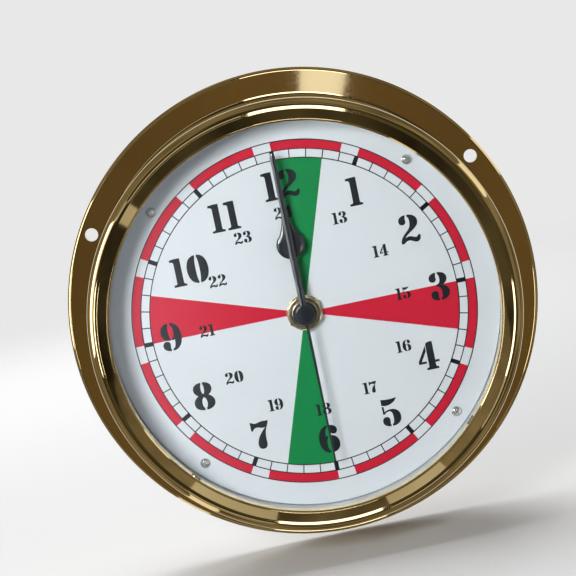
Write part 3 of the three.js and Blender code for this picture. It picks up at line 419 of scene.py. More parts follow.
BOARD_LAMINATE = Finish(
    "board laminate", (0.3, 0.17, 0.04), 0.5, 0.0, Grain.LAMINATE, 0.4, 0.12, 0.08, 0.008
)
BATTERY_WRAP = Finish(
    "battery wrap", (0.74, 0.43, 0.07), 0.24, 0.6, Grain.ENAMEL, 2.5, 0.03, 0.03, 0.0006, 0.4
)
BATTERY_SLEEVE = Finish(
    "battery sleeve", (0.016, 0.016, 0.018), 0.25, 0.0, Grain.ENAMEL, 2.5, 0.1, 0.03, 0.0006, 0.4
)
CLEAR_GLASS = GlassFinish()
PANE_CARD = Glow("pane card", (0.003, 0.003, 0.004), (0.7, 0.76, 0.88), (-20.0, -180.0))
BROWN_CARD = Glow("brown card", (0.09, 0.06, 0.028), (0.15, 0.1, 0.045))
OLIVE_CARD = Glow("olive card", (0.012, 0.01, 0.007), (0.07, 0.06, 0.038))
ROOM_CARD = Glow("room card", (0.06, 0.05, 0.034), (0.26, 0.22, 0.15))
PALE_CARD = Glow("pale card", (0.85, 0.8, 0.72), (1.0, 0.95, 0.86))
GOLD_CARD = Glow("gold card", (0.95, 0.95, 1.0), (1.05, 1.05, 1.15))
WHITE_CARD = Glow("white card", (2.6, 2.6, 2.7), (3.2, 3.2, 3.2))
TAN_CARD = Glow("tan card", (0.4, 0.38, 0.33), (0.52, 0.5, 0.44))
GLINT_CARD = Glow("glint card", (4.2, 4.2, 4.3), (4.6, 4.6, 4.6))

# The movement's solids whose edges are eased: piece, width of the easing, finish and slot.
SOFTENED: dict[str, tuple[str, float, Finish, str]] = {
    "movement_front_case": ("movement_front", 0.25, BLACK_PLASTIC, "black_plastic"),
    "movement_rear_case": ("movement_back", 0.25, BLACK_PLASTIC, "black_plastic"),
    "battery_contact_positive": ("contact_plus", 0.08, BRIGHT_STEEL, "bright_steel"),
    "battery_contact_negative": ("contact_minus", 0.08, BRIGHT_STEEL, "bright_steel"),
}
# The solids that keep their meshes, by the finish that they get.
DRESSED: dict[Finish, str] = {
    WHITE_PLASTIC: "train_plate rotor_pinion intermediate_wheel seconds_wheel third_wheel "
    "centre_wheel minute_wheel hour_wheel coil_bobbin",
    DULL_STEEL: "rotor_magnet stator coil_core quartz_crystal",
    PLAIN_BRASS: "minute_cannon",
    COPPER_WIRE: "coil_winding",
    BOARD_LAMINATE: "circuit_board",
    BLACK_PLASTIC: "timer_chip",
}


def clock_place(radius: float, angle: float, height: float) -> Vector:
    """Point of the row frame, in metres.

    Args:
        radius: distance from the hands' axis in millimetres.
        angle: degrees clockwise from twelve.
        height: millimetres above the wall plane.

    Returns:
        The point.
    """
    turn = math.radians(angle)
    return Vector((radius * math.sin(turn), -height, radius * math.cos(turn))) * MM


def flat_place(x: float, y: float, height: float) -> Vector:
    """Point over the dial from its own x and y, in millimetres, as metres."""
    return Vector((x, -height, y)) * MM


def spot(radius: float, turn: float) -> Corner:
    """Place on the dial at a radius and a clock angle."""
    return radius * math.sin(math.radians(turn)), radius * math.cos(math.radians(turn))


def arc(radius: float, first: float, last: float, steps: int) -> Outline:
    """Points along a circle of the dial between two clock angles."""
    return [spot(radius, first + (last - first) * k / steps) for k in range(steps + 1)]


def circle(radius: float, steps: int, first: float = 0.0) -> Outline:
    """Points all round a circle of the dial."""
    return arc(radius, first, first + FULL, steps)[:-1]


def hole(radius: float, steps: int) -> Outline:
    """Points round a circle the other way, for the inner edge of a shape."""
    return arc(radius, FULL, 0.0, steps)[:-1]


def ring_sector(inner: float, outer: float, first: float, last: float) -> Outline:
    """Sector of a ring of the dial, from inner to outer radius."""
    steps = max(2, int((last - first) * 1.5))
    return arc(outer, first, last, steps) + arc(inner, last, first, steps)


def moved(outline: Outline, by: Corner) -> Outline:
    """Outline moved on its plane."""
    return [(x + by[0], y + by[1]) for x, y in outline]


def upright(left: float, right: float, foot: float, top: float) -> Outline:
    """Upright rectangle on the dial."""
    return [(left, foot), (right, foot), (right, top), (left, top)]


def bar(width: float, length: float) -> Outline:
    """Upright rectangle centred on the axis."""
    return upright(-width / 2, width / 2, -length / 2, length / 2)


def rounded(corners: Section, steps: int = 5) -> Outline:
    """Rounds the corners of a closed section.

    Args:
        corners: (radius, height) or (radius, height, fillet) in order round the section.
        steps: pieces in each fillet.

    Returns:
        The section with its fillets as points.
    """
    result: Outline = []
    for k, corner in enumerate(corners):
        here = Vector(corner[:2])
        if len(corner) < 3 or not corner[2]:
            result.append((here.x, here.y))
            continue
        before = (Vector(corners[k - 1][:2]) - here).normalized()
        after = (Vector(corners[(k + 1) % len(corners)][:2]) - here).normalized()
        half = before.angle(after) / 2
        reach = corner[2] / math.tan(half)
        start, end = here + before * reach, here + after * reach
        centre = here + (before + after).normalized() * (corner[2] / math.sin(half))
        for step in range(steps + 1):
            share = step / steps
            arm = (start - centre).lerp(end - centre, share).normalized() * corner[2]
            result.append(tuple(centre + arm))
    return result


def ridges(
    crest: float, root: float, levels: Sequence[float], steps: tuple[float, float, float]
) -> Outline:
    """Ridges of a thread, as a part of a section.

    Args:
        crest: radius of their tops.
        root: radius of the grooves between them.
        levels: height at which each ridge ends and its groove starts.
        steps: how far above that the groove is full, starts to close and is closed.

    Returns:
        The points.
    """
    places = ((crest, 0.0), *zip((root, root, crest), steps))
    return [(radius, level + step) for level in levels for radius, step in places]


def placed(name: str, data: bpy.types.ID) -> bpy.types.Object:
    """Puts a mesh, a light or a camera into the scene.

    Args:
        name: the object's name.
        data: what it shows.

    Returns:
        The object.
    """
    thing = bpy.data.objects.new(name, data)
    bpy.context.scene.collection.objects.link(thing)
    return thing


def applied(piece: bpy.types.Object) -> bpy.types.Mesh:
    """Works a piece's modifiers in and removes them.

    Args:
        piece: the object.

    Returns:
        A new mesh.
    """
    graph = bpy.context.evaluated_depsgraph_get()
    mesh = bpy.data.meshes.new_from_object(piece.evaluated_get(graph))
    piece.modifiers.clear()
    return mesh


def mesh_of(form: bmesh.types.BMesh, weld: bool = True, turn_out: bool = True) -> bpy.types.Mesh:
    """Ends a form as a mesh.

    Args:
        form: the form, which is freed.
        weld: True joins corners that share a place.
        turn_out: True turns the faces out.

    Returns:
        The mesh.
    """
    if weld:
        bmesh.ops.remove_doubles(form, verts=form.verts, dist=WELD)
    if turn_out:
        bmesh.ops.recalc_face_normals(form, faces=form.faces)
    mesh = bpy.data.meshes.new("form")
    form.to_mesh(mesh)
    form.free()
    return mesh


def joined(meshes: Sequence[bpy.types.Mesh]) -> bpy.types.Mesh:
    """Puts several closed meshes into one.

    Args:
        meshes: the meshes.

    Returns:
        The new mesh.
    """
    form = bmesh.new()
    for mesh in meshes:
        form.from_mesh(mesh)
    return mesh_of(form, weld=False, turn_out=False)


def turned(
    section: Outline, steps: int = ROUND, centre: Corner = (0.0, 0.0)
) -> bpy.types.Mesh:
    """Turns a closed section about the hands' axis, or an axis beside it.

    Args:
        section: (radius, height) points in millimetres. Points on the axis close it.
        steps: faces round the turn.
        centre: where the axis stands on the dial.

    Returns:
        The mesh.
    """
    form = bmesh.new()
    offset = flat_place(*centre, 0.0)
    rings: list[list[bmesh.types.BMVert]] = []
    for radius, height in section:
        angles = [FULL * k / steps for k in range(steps)] if radius > 1e-6 else [0.0]
        rings.append(
            [form.verts.new(clock_place(radius, angle, height) + offset) for angle in angles]
        )
    for k, low in enumerate(rings):
        high = rings[(k + 1) % len(rings)]
        if len(low) == 1 and len(high) == 1:
            continue
        for j in range(steps):
            below = [low[i % len(low)] for i in (j, j + 1)]
            above = [high[i % len(high)] for i in (j + 1, j)]
            form.faces.new(list(dict.fromkeys(below + above)))
    return mesh_of(form)


def hoop(
    inner: float,
    outer: float,
    low: float,
    high: float,
    fillets: Four,
    steps: int = ROUND,
) -> bpy.types.Mesh:
    """Ring or disc of a rectangular section.

    Args:
        inner: its inner radius, 0 for a disc.
        outer: its outer radius.
        low: the level of its back.
        high: the level of its front.
        fillets: rounding at inner back, outer back, outer front and inner front.
        steps: faces round it.

    Returns:
        The mesh.
    """
    corners = zip((inner, outer, outer, inner), (low, low, high, high), fillets)
    return turned(rounded(list(corners)), steps)


def print_solid(shapes: Sequence[Shape], low: float, high: float) -> bpy.types.Mesh:
    """Thin closed solids from flat shapes on the dial.

    Args:
        shapes: the shapes, in dial x and y.
        low: height of their back.
        high: height of their front.

    Returns:
        One mesh.
    """
    form = bmesh.new()
    for shape in shapes:
        loops = [[Vector((x, y, 0.0)) for x, y in loop] for loop in shape]
        flat = [point for loop in loops for point in loop]
        backs, fronts = (
            [form.verts.new(flat_place(p.x, p.y, level)) for p in flat] for level in (low, high)
        )
        for a, b, c in tessellate_polygon(loops):
            form.faces.new((fronts[a], fronts[b], fronts[c]))
            form.faces.new((backs[c], backs[b], backs[a]))
        start = 0
        for loop in loops:
            for k in range(len(loop)):
                here, there = start + k, start + (k + 1) % len(loop)
                form.faces.new((backs[here], backs[there], fronts[there], fronts[here]))
            start += len(loop)
    return mesh_of(form, weld=False)


def eased(piece: bpy.types.Object, width: float, sharp: float, segments: int) -> None:
    """Adds a rounding of a piece's sharp edges.

    Args:
        piece: the object.
        width: width of the rounding in millimetres.
        sharp: edges that turn more than this many degrees get it.
        segments: faces across it.
    """
    bevel = piece.modifiers.new("edges", "BEVEL")
    bevel.width = width * MM
    bevel.segments = segments
    bevel.angle_limit = math.radians(sharp)


def carved(
    mesh: bpy.types.Mesh,
    tools: Sequence[bpy.types.Mesh],
    leaves: Cut = Cut.OUTSIDE,
    ease: float = 0.0,
) -> bpy.types.Mesh:
    """Cuts a mesh with others.

    Args:
        mesh: the mesh to cut.
        tools: the meshes that cut it.
        leaves: what they leave of it.
        ease: width of a rounding of the edges, in millimetres.

    Returns:
        The cut mesh.
    """
    body = placed("body", mesh)
    blades = [placed("tool", tool) for tool in tools]
    for blade in blades:
        cut = body.modifiers.new("cut", "BOOLEAN")
        cut.operation = leaves.value
        cut.solver = "EXACT"
        cut.object = blade
    if ease:
        eased(body, ease, 35.0, 3)
    result = applied(body)
    for thing in (*blades, body):
        bpy.data.objects.remove(thing)
    return result


def drilled(
    mesh: bpy.types.Mesh, places: Outline, diameter: float, low: float, high: float
) -> bpy.types.Mesh:
    """Cuts round holes along the hands' axis.

    Args:
        mesh: the mesh to cut.
        places: x and y of the holes on the dial.
        diameter: the holes' diameter.
        low: the height at which the cut starts.
        high: the height at which it ends.

    Returns:
        The cut mesh.
    """
    radius = diameter / 2
    bit = [(0, low), (radius, low), (radius, high), (0, high)]
    return carved(mesh, [turned(bit, 32, place) for place in places])


@dataclass(frozen=True)
class Screw:
    """Round-headed screw on the axis with a cross recess."""

    head: float
    height: float
    shank: float
    length: float
    side: Half
    dome: float = 0.6
    slot_reach: float = 0.3
    slot_half: float = 0.075
    slot_depth: float = 0.45

    def mesh(self, seat: float) -> bpy.types.Mesh:
        """Makes the screw, before it is set in place.

        Args:
            seat: level of the head's underside.

        Returns:
            The mesh.
        """
        out = -float(self.side.value)
        radius, rise = self.head / 2, out * self.height
        top = seat + rise
        shares = [1 - k / 10 for k in range(11)]
        section = [
            (0.0, seat - out * self.length),
            (self.shank / 2, seat - out * self.length, 0.2),
            (self.shank / 2, seat),
            (radius, seat, 0.1),
            *((radius * share, top - rise * self.dome * share**2) for share in shares),
        ]
        levels = sorted((top - rise * self.slot_depth, top + rise))
        long, short = self.head * self.slot_reach, self.head * self.slot_half
        slots = [upright(-x, x, -y, y) for x, y in ((long, short), (short, long))]
        blades = [print_solid([[slot]], *levels) for slot in slots]
        return carved(turned(rounded(section, 6), 40), blades)


class RingRepeat:
    """Geometry nodes that set copies of a small form round a circle of the dial."""

    tree: Optional[bpy.types.NodeTree] = None
    sockets: dict[str, str] = {}

    @classmethod
    def build(cls) -> None:
        """Makes the node tree with its named inputs."""
        tree = bpy.data.node_groups.new("ring repeat", "GeometryNodeTree")
        cls.tree = tree
        kinds = {
            "Form": "Geometry",
            "Count": "Int",
            "Radius": "Float",
            "First Angle": "Float",
            "Step Angle": "Float",
            "Own Turn": "Float",
            "Seed": "Int",
            "Material": "Material",
        }
        for name, kind in kinds.items():
            socket = tree.interface.new_socket(
                name, in_out="INPUT", socket_type=f"NodeSocket{kind}"
            )
            cls.sockets[name] = socket.identifier
        tree.interface.new_socket("Form", in_out="OUTPUT", socket_type="NodeSocketGeometry")
        board = NodeBoard(tree)
        given = board.add("NodeGroupInput").outputs
        points = board.add("GeometryNodePoints", {"Count": given["Count"]})
        index = board.add("GeometryNodeInputIndex").outputs[0]
        steps = board.math("MULTIPLY", index, given["Step Angle"])
        angle = board.math("ADD", steps, given["First Angle"])
        aside = {
            axis: board.math("MULTIPLY", board.math(wave, angle), given["Radius"])
            for axis, wave in (("X", "SINE"), ("Z", "COSINE"))
        }
        place = board.add("ShaderNodeCombineXYZ", aside).outputs[0]
        moves = {"Geometry": points.outputs[0], "Position": place}
        spots = board.add("GeometryNodeSetPosition", moves).outputs[0]
        chance = {"ID": index, "Seed": given["Seed"]}
        own = board.add("FunctionNodeRandomValue", chance, data_type="FLOAT").outputs["Value"]
        own_turn = board.math("MULTIPLY", own, given["Own Turn"])
        facing = board.add("ShaderNodeCombineXYZ", {"Y": board.math("ADD", angle, own_turn)})
        copying = {"Points": spots, "Instance": given["Form"], "Rotation": facing.outputs[0]}
        copies = board.add("GeometryNodeInstanceOnPoints", copying).outputs[0]
        real = board.add("GeometryNodeRealizeInstances", {0: copies}).outputs[0]
        dress = {"Geometry": real, "Material": given["Material"]}
        board.add("NodeGroupOutput", {0: board.add("GeometryNodeSetMaterial", dress).outputs[0]})

    @classmethod
    def spread(
        cls,
        form: bpy.types.Mesh,
        finish: Finish,
        count: int,
        radius: float,
        first: float = 0.0,
        own_turn: float = 0.0,
        seed: int = 7,
    ) -> bpy.types.Mesh:
        """Sets copies of a form evenly round the hands' axis.

        Args:
            form: the form, drawn at the axis with its top towards twelve.
            finish: its material.
            count: how many copies.
            radius: the circle's radius in millimetres.
            first: clock angle of the first copy, in degrees.
            own_turn: the most that a copy is turned about itself, in degrees.
            seed: seed of those turns.

        Returns:
            One mesh with all the copies.
        """
        if cls.tree is None:
            cls.build()
        holder = placed("ring", form)
        nodes = holder.modifiers.new("ring", "NODES")
        nodes.node_group = cls.tree
        values = {
            "Count": count,
            "Radius": radius * MM,
            "First Angle": math.radians(first),
            "Step Angle": math.radians(FULL / count),
            "Own Turn": math.radians(own_turn),
            "Seed": seed,
            "Material": finish.material(),
        }
        for name, value in values.items():
            nodes[cls.sockets[name]] = value
        result = applied(holder)
        bpy.data.objects.remove(holder)
        return result


class Numerals:
    """Stencil figures with heavy stems, each a few closed strokes on a height of 100."""

    BALL = "M28 100 C12 99 2 91 2 80 C2 71 8 66 15 66 C22 66 27 71 27 78 C27 84 24 88 28 92 Z"
    FOOT = "M28 0 C12 1 1 9 1 20 C1 30 7 36 15 36 C23 36 28 31 28 23 C28 17 25 12 28 7 Z"
    FIGURES: dict[str, tuple[float, str]] = {
        "0": (
            76,
            "M35 100 C12 99 0 78 0 50 C0 22 12 1 35 0 L35 8 C32 14 31 32 31 50 "
            "C31 68 32 86 35 92 Z "
            "M41 100 L41 92 C44 86 45 68 45 50 C45 32 44 14 41 8 L41 0 C64 1 76 22 76 50 "
            "C76 78 64 99 41 100 Z",
        ),
        "1": (
            47,
            "M0 98 L0 90 C8 90 13 88 13 82 L13 14 C13 9 9 8 1 7 L1 0 L47 0 L47 7 "
            "C40 8 37 9 37 14 L37 100 L20 100 C14 100 8 99 0 98 Z",
        ),
        "2": (
            71,
            "BALL "
            "M34 100 C56 99 68 88 68 73 C68 58 56 50 38 38 C28 31 20 26 16 19 "
            "C24 25 34 25 44 20 C52 16 58 15 62 24 L70 24 C71 8 64 0 54 0 C44 0 38 9 28 9 "
            "C20 9 14 5 10 0 L0 0 L0 8 C2 22 14 32 26 43 C36 52 40 60 40 74 "
            "C40 84 38 90 34 93 Z",
        ),
        "3": (
            68,
            "BALL "
            "FOOT "
            "M34 100 C54 99 65 90 65 77 C65 66 58 58 46 53 C60 49 68 41 68 27 "
            "C68 11 55 1 34 0 L34 7 C40 10 41 18 41 28 C41 41 36 48 24 50 L24 56 "
            "C35 58 39 64 39 76 C39 85 38 90 34 93 Z",
        ),
        "4": (
            76,
            "M34 88 L2 34 L2 24 L30 24 L30 32 L13 32 L34 68 Z "
            "M39 97 L48 100 L61 100 L61 32 L76 32 L76 24 L61 24 L61 13 C61 9 64 8 70 7 L70 0 "
            "L27 0 L27 7 C33 8 36 9 36 13 L36 91 Z",
        ),
        "5": (
            68,
            "M6 100 L6 79 C20 73 34 75 45 82 C53 86 59 90 62 100 C48 96 24 96 6 100 Z "
            "FOOT "
            "M6 74 L6 46 L13 46 C17 51 22 54 29 54 C38 54 41 45 41 31 C41 18 39 9 33 7 L33 0 "
            "C54 0 68 12 68 31 C68 49 56 61 36 61 C27 61 20 59 13 54 L13 73 Z",
        ),
        "6": (
            72,
            "M41 0 C60 1 72 14 72 32 C72 50 60 62 41 63 L41 55 C44 51 45 42 45 32 "
            "C45 21 44 12 41 8 Z "
            "M35 0 C12 2 0 22 0 48 C0 80 16 99 38 100 L38 93 C29 90 26 80 26 59 "
            "C28 61 31 63 35 63 L35 55 C29 53 27 43 27 31 C27 19 30 11 35 8 Z "
            "M44 100 C60 99 70 91 70 80 C70 71 64 66 57 66 C49 66 44 71 44 78 "
            "C44 84 47 88 44 93 Z",
        ),
        "7": (
            64,
            "M0 100 L6 100 C10 95 16 94 24 95 C34 97 40 100 48 99 C54 98 59 98 64 100 L64 92 "
            "C58 77 47 72 36 76 C24 81 12 82 6 69 L0 69 Z "
            "M61 84 C48 66 46 40 48 22 C49 8 42 0 32 0 C22 0 15 7 16 20 C17 40 34 60 54 79 Z",
        ),
        "8": (
            74,
            "M34 100 C15 99 4 90 4 76 C4 66 10 58 19 53 C8 47 0 39 0 26 C0 10 14 1 34 0 L34 8 "
            "C29 12 28 19 28 27 C28 37 32 43 37 47 L37 57 C33 62 31 68 31 76 "
            "C31 83 31 89 34 92 Z "
            "M40 100 L40 92 C43 89 43 83 43 76 C43 68 41 62 37 57 L37 47 C42 43 46 37 46 27 "
            "C46 19 45 12 40 8 L40 0 C60 1 74 10 74 26 C74 39 66 47 55 53 C64 58 70 66 70 76 "
            "C70 90 59 99 40 100 Z",
        ),
        "9": (
            72,
            "M31 100 C12 99 0 86 0 68 C0 50 12 38 31 37 L31 45 C28 49 27 58 27 68 "
            "C27 79 28 88 31 92 Z "
            "M37 100 C60 98 72 78 72 52 C72 20 56 1 34 0 L34 7 C43 10 46 20 46 41 "
            "C44 39 41 37 37 37 L37 45 C43 47 45 57 45 69 C45 81 42 89 37 92 Z "
            "FOOT",
        ),
    }

    @classmethod
    def strokes(cls, figure: str, steps: int = 6) -> list[Outline]:
        """Outlines of a figure's strokes.

        Args:
            figure: the figure.
            steps: points along each curve.

        Returns:
            One outline for each stroke.
        """
        text = cls.FIGURES[figure][1].replace("FOOT", cls.FOOT).replace("BALL", cls.BALL)
        outlines = []
        for path in text.split("Z")[:-1]:
            points: Outline = []
            for command, numbers in re.findall("([MLC])([^MLC]*)", path):
                values = [float(number) for number in numbers.split()]
                if command != "C":
                    points.append((values[0], values[1]))
                    continue
                start = Vector(points[-1])
                one, two, end = (Vector(values[k : k + 2]) for k in (0, 2, 4))
                for step in range(1, steps + 1):
                    t = step / steps
                    here = (
                        start * (1 - t) ** 3
                        + one * 3 * t * (1 - t) ** 2
                        + two * 3 * t * t * (1 - t)
                        + end * t**3
                    )
                    points.append((here.x, here.y))
            outlines.append(points)
        return outlines

    @classmethod
    def number(cls, text: str, centre: Corner, height: float, space: float = 8.0) -> list[Shape]:
        """Shapes of a number centred at a place on the dial.

        Args:
            text: its figures.
            centre: x and y of its middle, in millimetres.
            height: height of the figures.
            space: gap between figures, on the scale of 100.

        Returns:
            One shape for each stroke.
        """
        width = sum(cls.FIGURES[c][0] for c in text) + space * (len(text) - 1)
        scale = height / 100.0
        left, shapes = -width / 2, []
        for figure in text:
            for outline in cls.strokes(figure):
                spots = [((left + x) * scale, (y - 50.0) * scale) for x, y in outline]
                shapes.append([moved(spots, centre)])
            left += cls.FIGURES[figure][0] + space
        return shapes


@dataclass
class Assembly:
    """A group of pieces that rides on bodies of the frame."""

    body: str = "case"

    def keep(
        self,
        name: str,
        mesh: bpy.types.Mesh,
        finish: Dressing,
        slot: str,
        nodes: Sequence[str] = (),
        body: Optional[str] = None,
        sharp: float = 32.0,
    ) -> None:
        """Finishes a mesh as a piece of the clock.

        Args:
            name: the piece's name.
            mesh: its mesh.
            finish: its material.
            slot: a material slot's name; not used.
            nodes: the CAD nodes that it stands for.
            body: the body that it rides on, if not the assembly's own.
            sharp: edges that turn more than this many degrees stay crisp.
        """
        if not mesh.materials:
            mesh.materials.append(finish.material())
        mesh.shade_smooth()
        mesh.set_sharp_from_angle(angle=math.radians(sharp))
        piece = placed(name, mesh)
        even = piece.modifiers.new("even normals", "WEIGHTED_NORMAL")
        even.keep_sharp = True
        even.weight = 100
        piece.data = applied(piece)
        piece.data.name = name
        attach(piece, body or self.body)
        if nodes:
            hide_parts(*nodes)
        log.info("%s: %d faces on %s", name, len(mesh.polygons), body or self.body)


@dataclass
class Case(Assembly):
    """Brass case: flange, wall and threaded rim, with the seat ring for the dial."""

    flange: float = 75.0
    flange_top: float = 3.2
    holes: int = 3
    hole_inset: float = 4.4
    hole_first: float = 60.0
    hole_diameter: float = 4.2
    drill: Corner = (-1.0, 5.0)
    wall: float = 64.4
    cavity: float = 61.7
    rim: float = 62.7
    rim_inner: float = 61.5
    shoulder: float = 26.6
    top: float = 31.8
    seat_top: float = 23.35
    seat_low: float = 20.55
    seat_inner: float = 52.8
    gap: float = 0.1
    rebate: float = 66.6
    rebate_top: float = 2.25
    thread_low: float = 0.6
    thread_pitch: float = 1.0
    thread_turns: int = 4
    thread_depth: float = 0.3

    def build(self) -> None:
        """Makes the case and the seat ring."""
        holes = circle(self.flange - self.hole_inset, self.holes, self.hole_first)
        body = drilled(turned(self.section()), holes, self.hole_diameter, *self.drill)
        self.keep("case_shell", body, POLISHED_BRASS, "polished_brass", ["case_body"])
        outer = self.cavity - self.gap
        seat = hoop(self.seat_inner, outer, self.seat_low, self.seat_top, (0.3, 0.1, 0.05, 0.3))
        self.keep("seat_ring", seat, PLAIN_BRASS, "plain_brass", ["dial_seat_ring"])

    def section(self) -> Outline:
        """Section of the case, with thread ridges on its rim."""
        low = [
            (self.cavity, self.rebate_top, 0.1),
            (self.rebate, self.rebate_top, 0.1),
            (self.rebate, 0.0, 0.15),
            (self.flange, 0.0, 0.6),
            (self.flange, self.flange_top, 1.2),
            (self.wall, self.flange_top, 2.9),
            (self.wall, self.shoulder, 0.25),
            (self.rim, self.shoulder, 0.15),
        ]
        first = self.shoulder + self.thread_low
        levels = [first + self.thread_pitch * k for k in range(self.thread_turns)]
        thread = ridges(self.rim, self.rim - self.thread_depth, levels, (0.4, 0.5, 0.9))
        high = [
            (self.rim, self.top, 0.3),
            (self.rim_inner, self.top, 0.2),
            (self.rim_inner, self.seat_top + self.gap),
            (self.cavity, self.seat_top + self.gap),
        ]
        return rounded([*low, *thread, *high], 6)


@dataclass
class Bezel(Assembly):
    """Screw-on bezel ring with its glass and gasket."""

    opening: float = 58.5
    outer: float = 65.4
    skirt_bore: float = 63.1
    skirt_low: float = 27.0
    glass_bore: float = 62.1
    glass_low: float = 33.2
    glass_top: float = 35.6
    glass_edge: float = 0.3
    gap: float = 0.2
    gasket_low: float = 32.05
    gasket_top: float = 32.95
    gasket_width: float = 2.6
    lip_low: float = 35.85
    lip_edge: float = 0.5
    top: float = 39.8
    band_width: float = 3.5
    band_drop: float = 0.9
    band_turn: float = 15.0
    band_radius: float = 4.5
    roll_steps: int = 30

    def build(self) -> None:
        """Makes the ring, the pane and the gasket."""
        ring = turned(self.section(), FINE)
        self.keep("bezel", ring, POLISHED_BRASS, "polished_brass", ["bezel_ring"], "bezel", 40.0)
        low, high, edge = self.glass_low, self.glass_top, self.glass_edge
        radius = self.glass_bore - self.gap
        back = [(0.0, low), (radius - edge, low), (radius, low + edge)]
        front = [(radius, high - edge), (radius - edge, high), (0.0, high)]
        pane = turned(back + front)
        self.keep("glass_pane", pane, CLEAR_GLASS, "clear_glass", ["front_glass"], "glass")
        outer = self.skirt_bore - self.gap
        inner = outer - self.gasket_width
        gasket = hoop(inner, outer, self.gasket_low, self.gasket_top, (0.35, 0.35, 0.35, 0.35))
        self.keep("gasket", gasket, BLACK_RUBBER, "black_rubber", ["bezel_gasket"], "glass")

    def section(self) -> Outline:
        """Section of the ring: lip, sloping band, rolled edge and skirt."""
        band, level = self.opening + self.band_width, self.top - self.band_drop
        flat = math.radians(self.band_turn)
        flat_reach = self.band_radius * math.sin(flat)
        edge_radius = (self.outer - band - flat_reach) / (1 - math.sin(flat))
        roll: Outline = []
        for k in range(self.roll_steps + 1):
            turn = math.radians(90.0 - 90.0 * k / self.roll_steps)
            soft, tight = min(turn, flat), max(turn, flat)
            across = edge_radius * (math.sin(tight) - math.sin(flat))
            down = edge_radius * (math.cos(flat) - math.cos(tight))
            reach = band + self.band_radius * math.sin(soft) + across
            roll.append((reach, level - self.band_radius * (1 - math.cos(soft)) - down))
        skirt = [
            (self.opening, self.lip_low, 0.1),
            (self.glass_bore, self.lip_low, 0.05),
            (self.glass_bore, self.glass_low, 0.05),
            (self.skirt_bore, self.glass_low, 0.05),
            (self.skirt_bore, self.skirt_low, 0.15),
            (self.outer, self.skirt_low, 0.4),
        ]
        lip = [
            (self.opening + self.lip_edge, self.top, 0.25),
            (self.opening, self.top - self.lip_edge, 0.25),
        ]
        return rounded([*skirt, *roll, *lip])


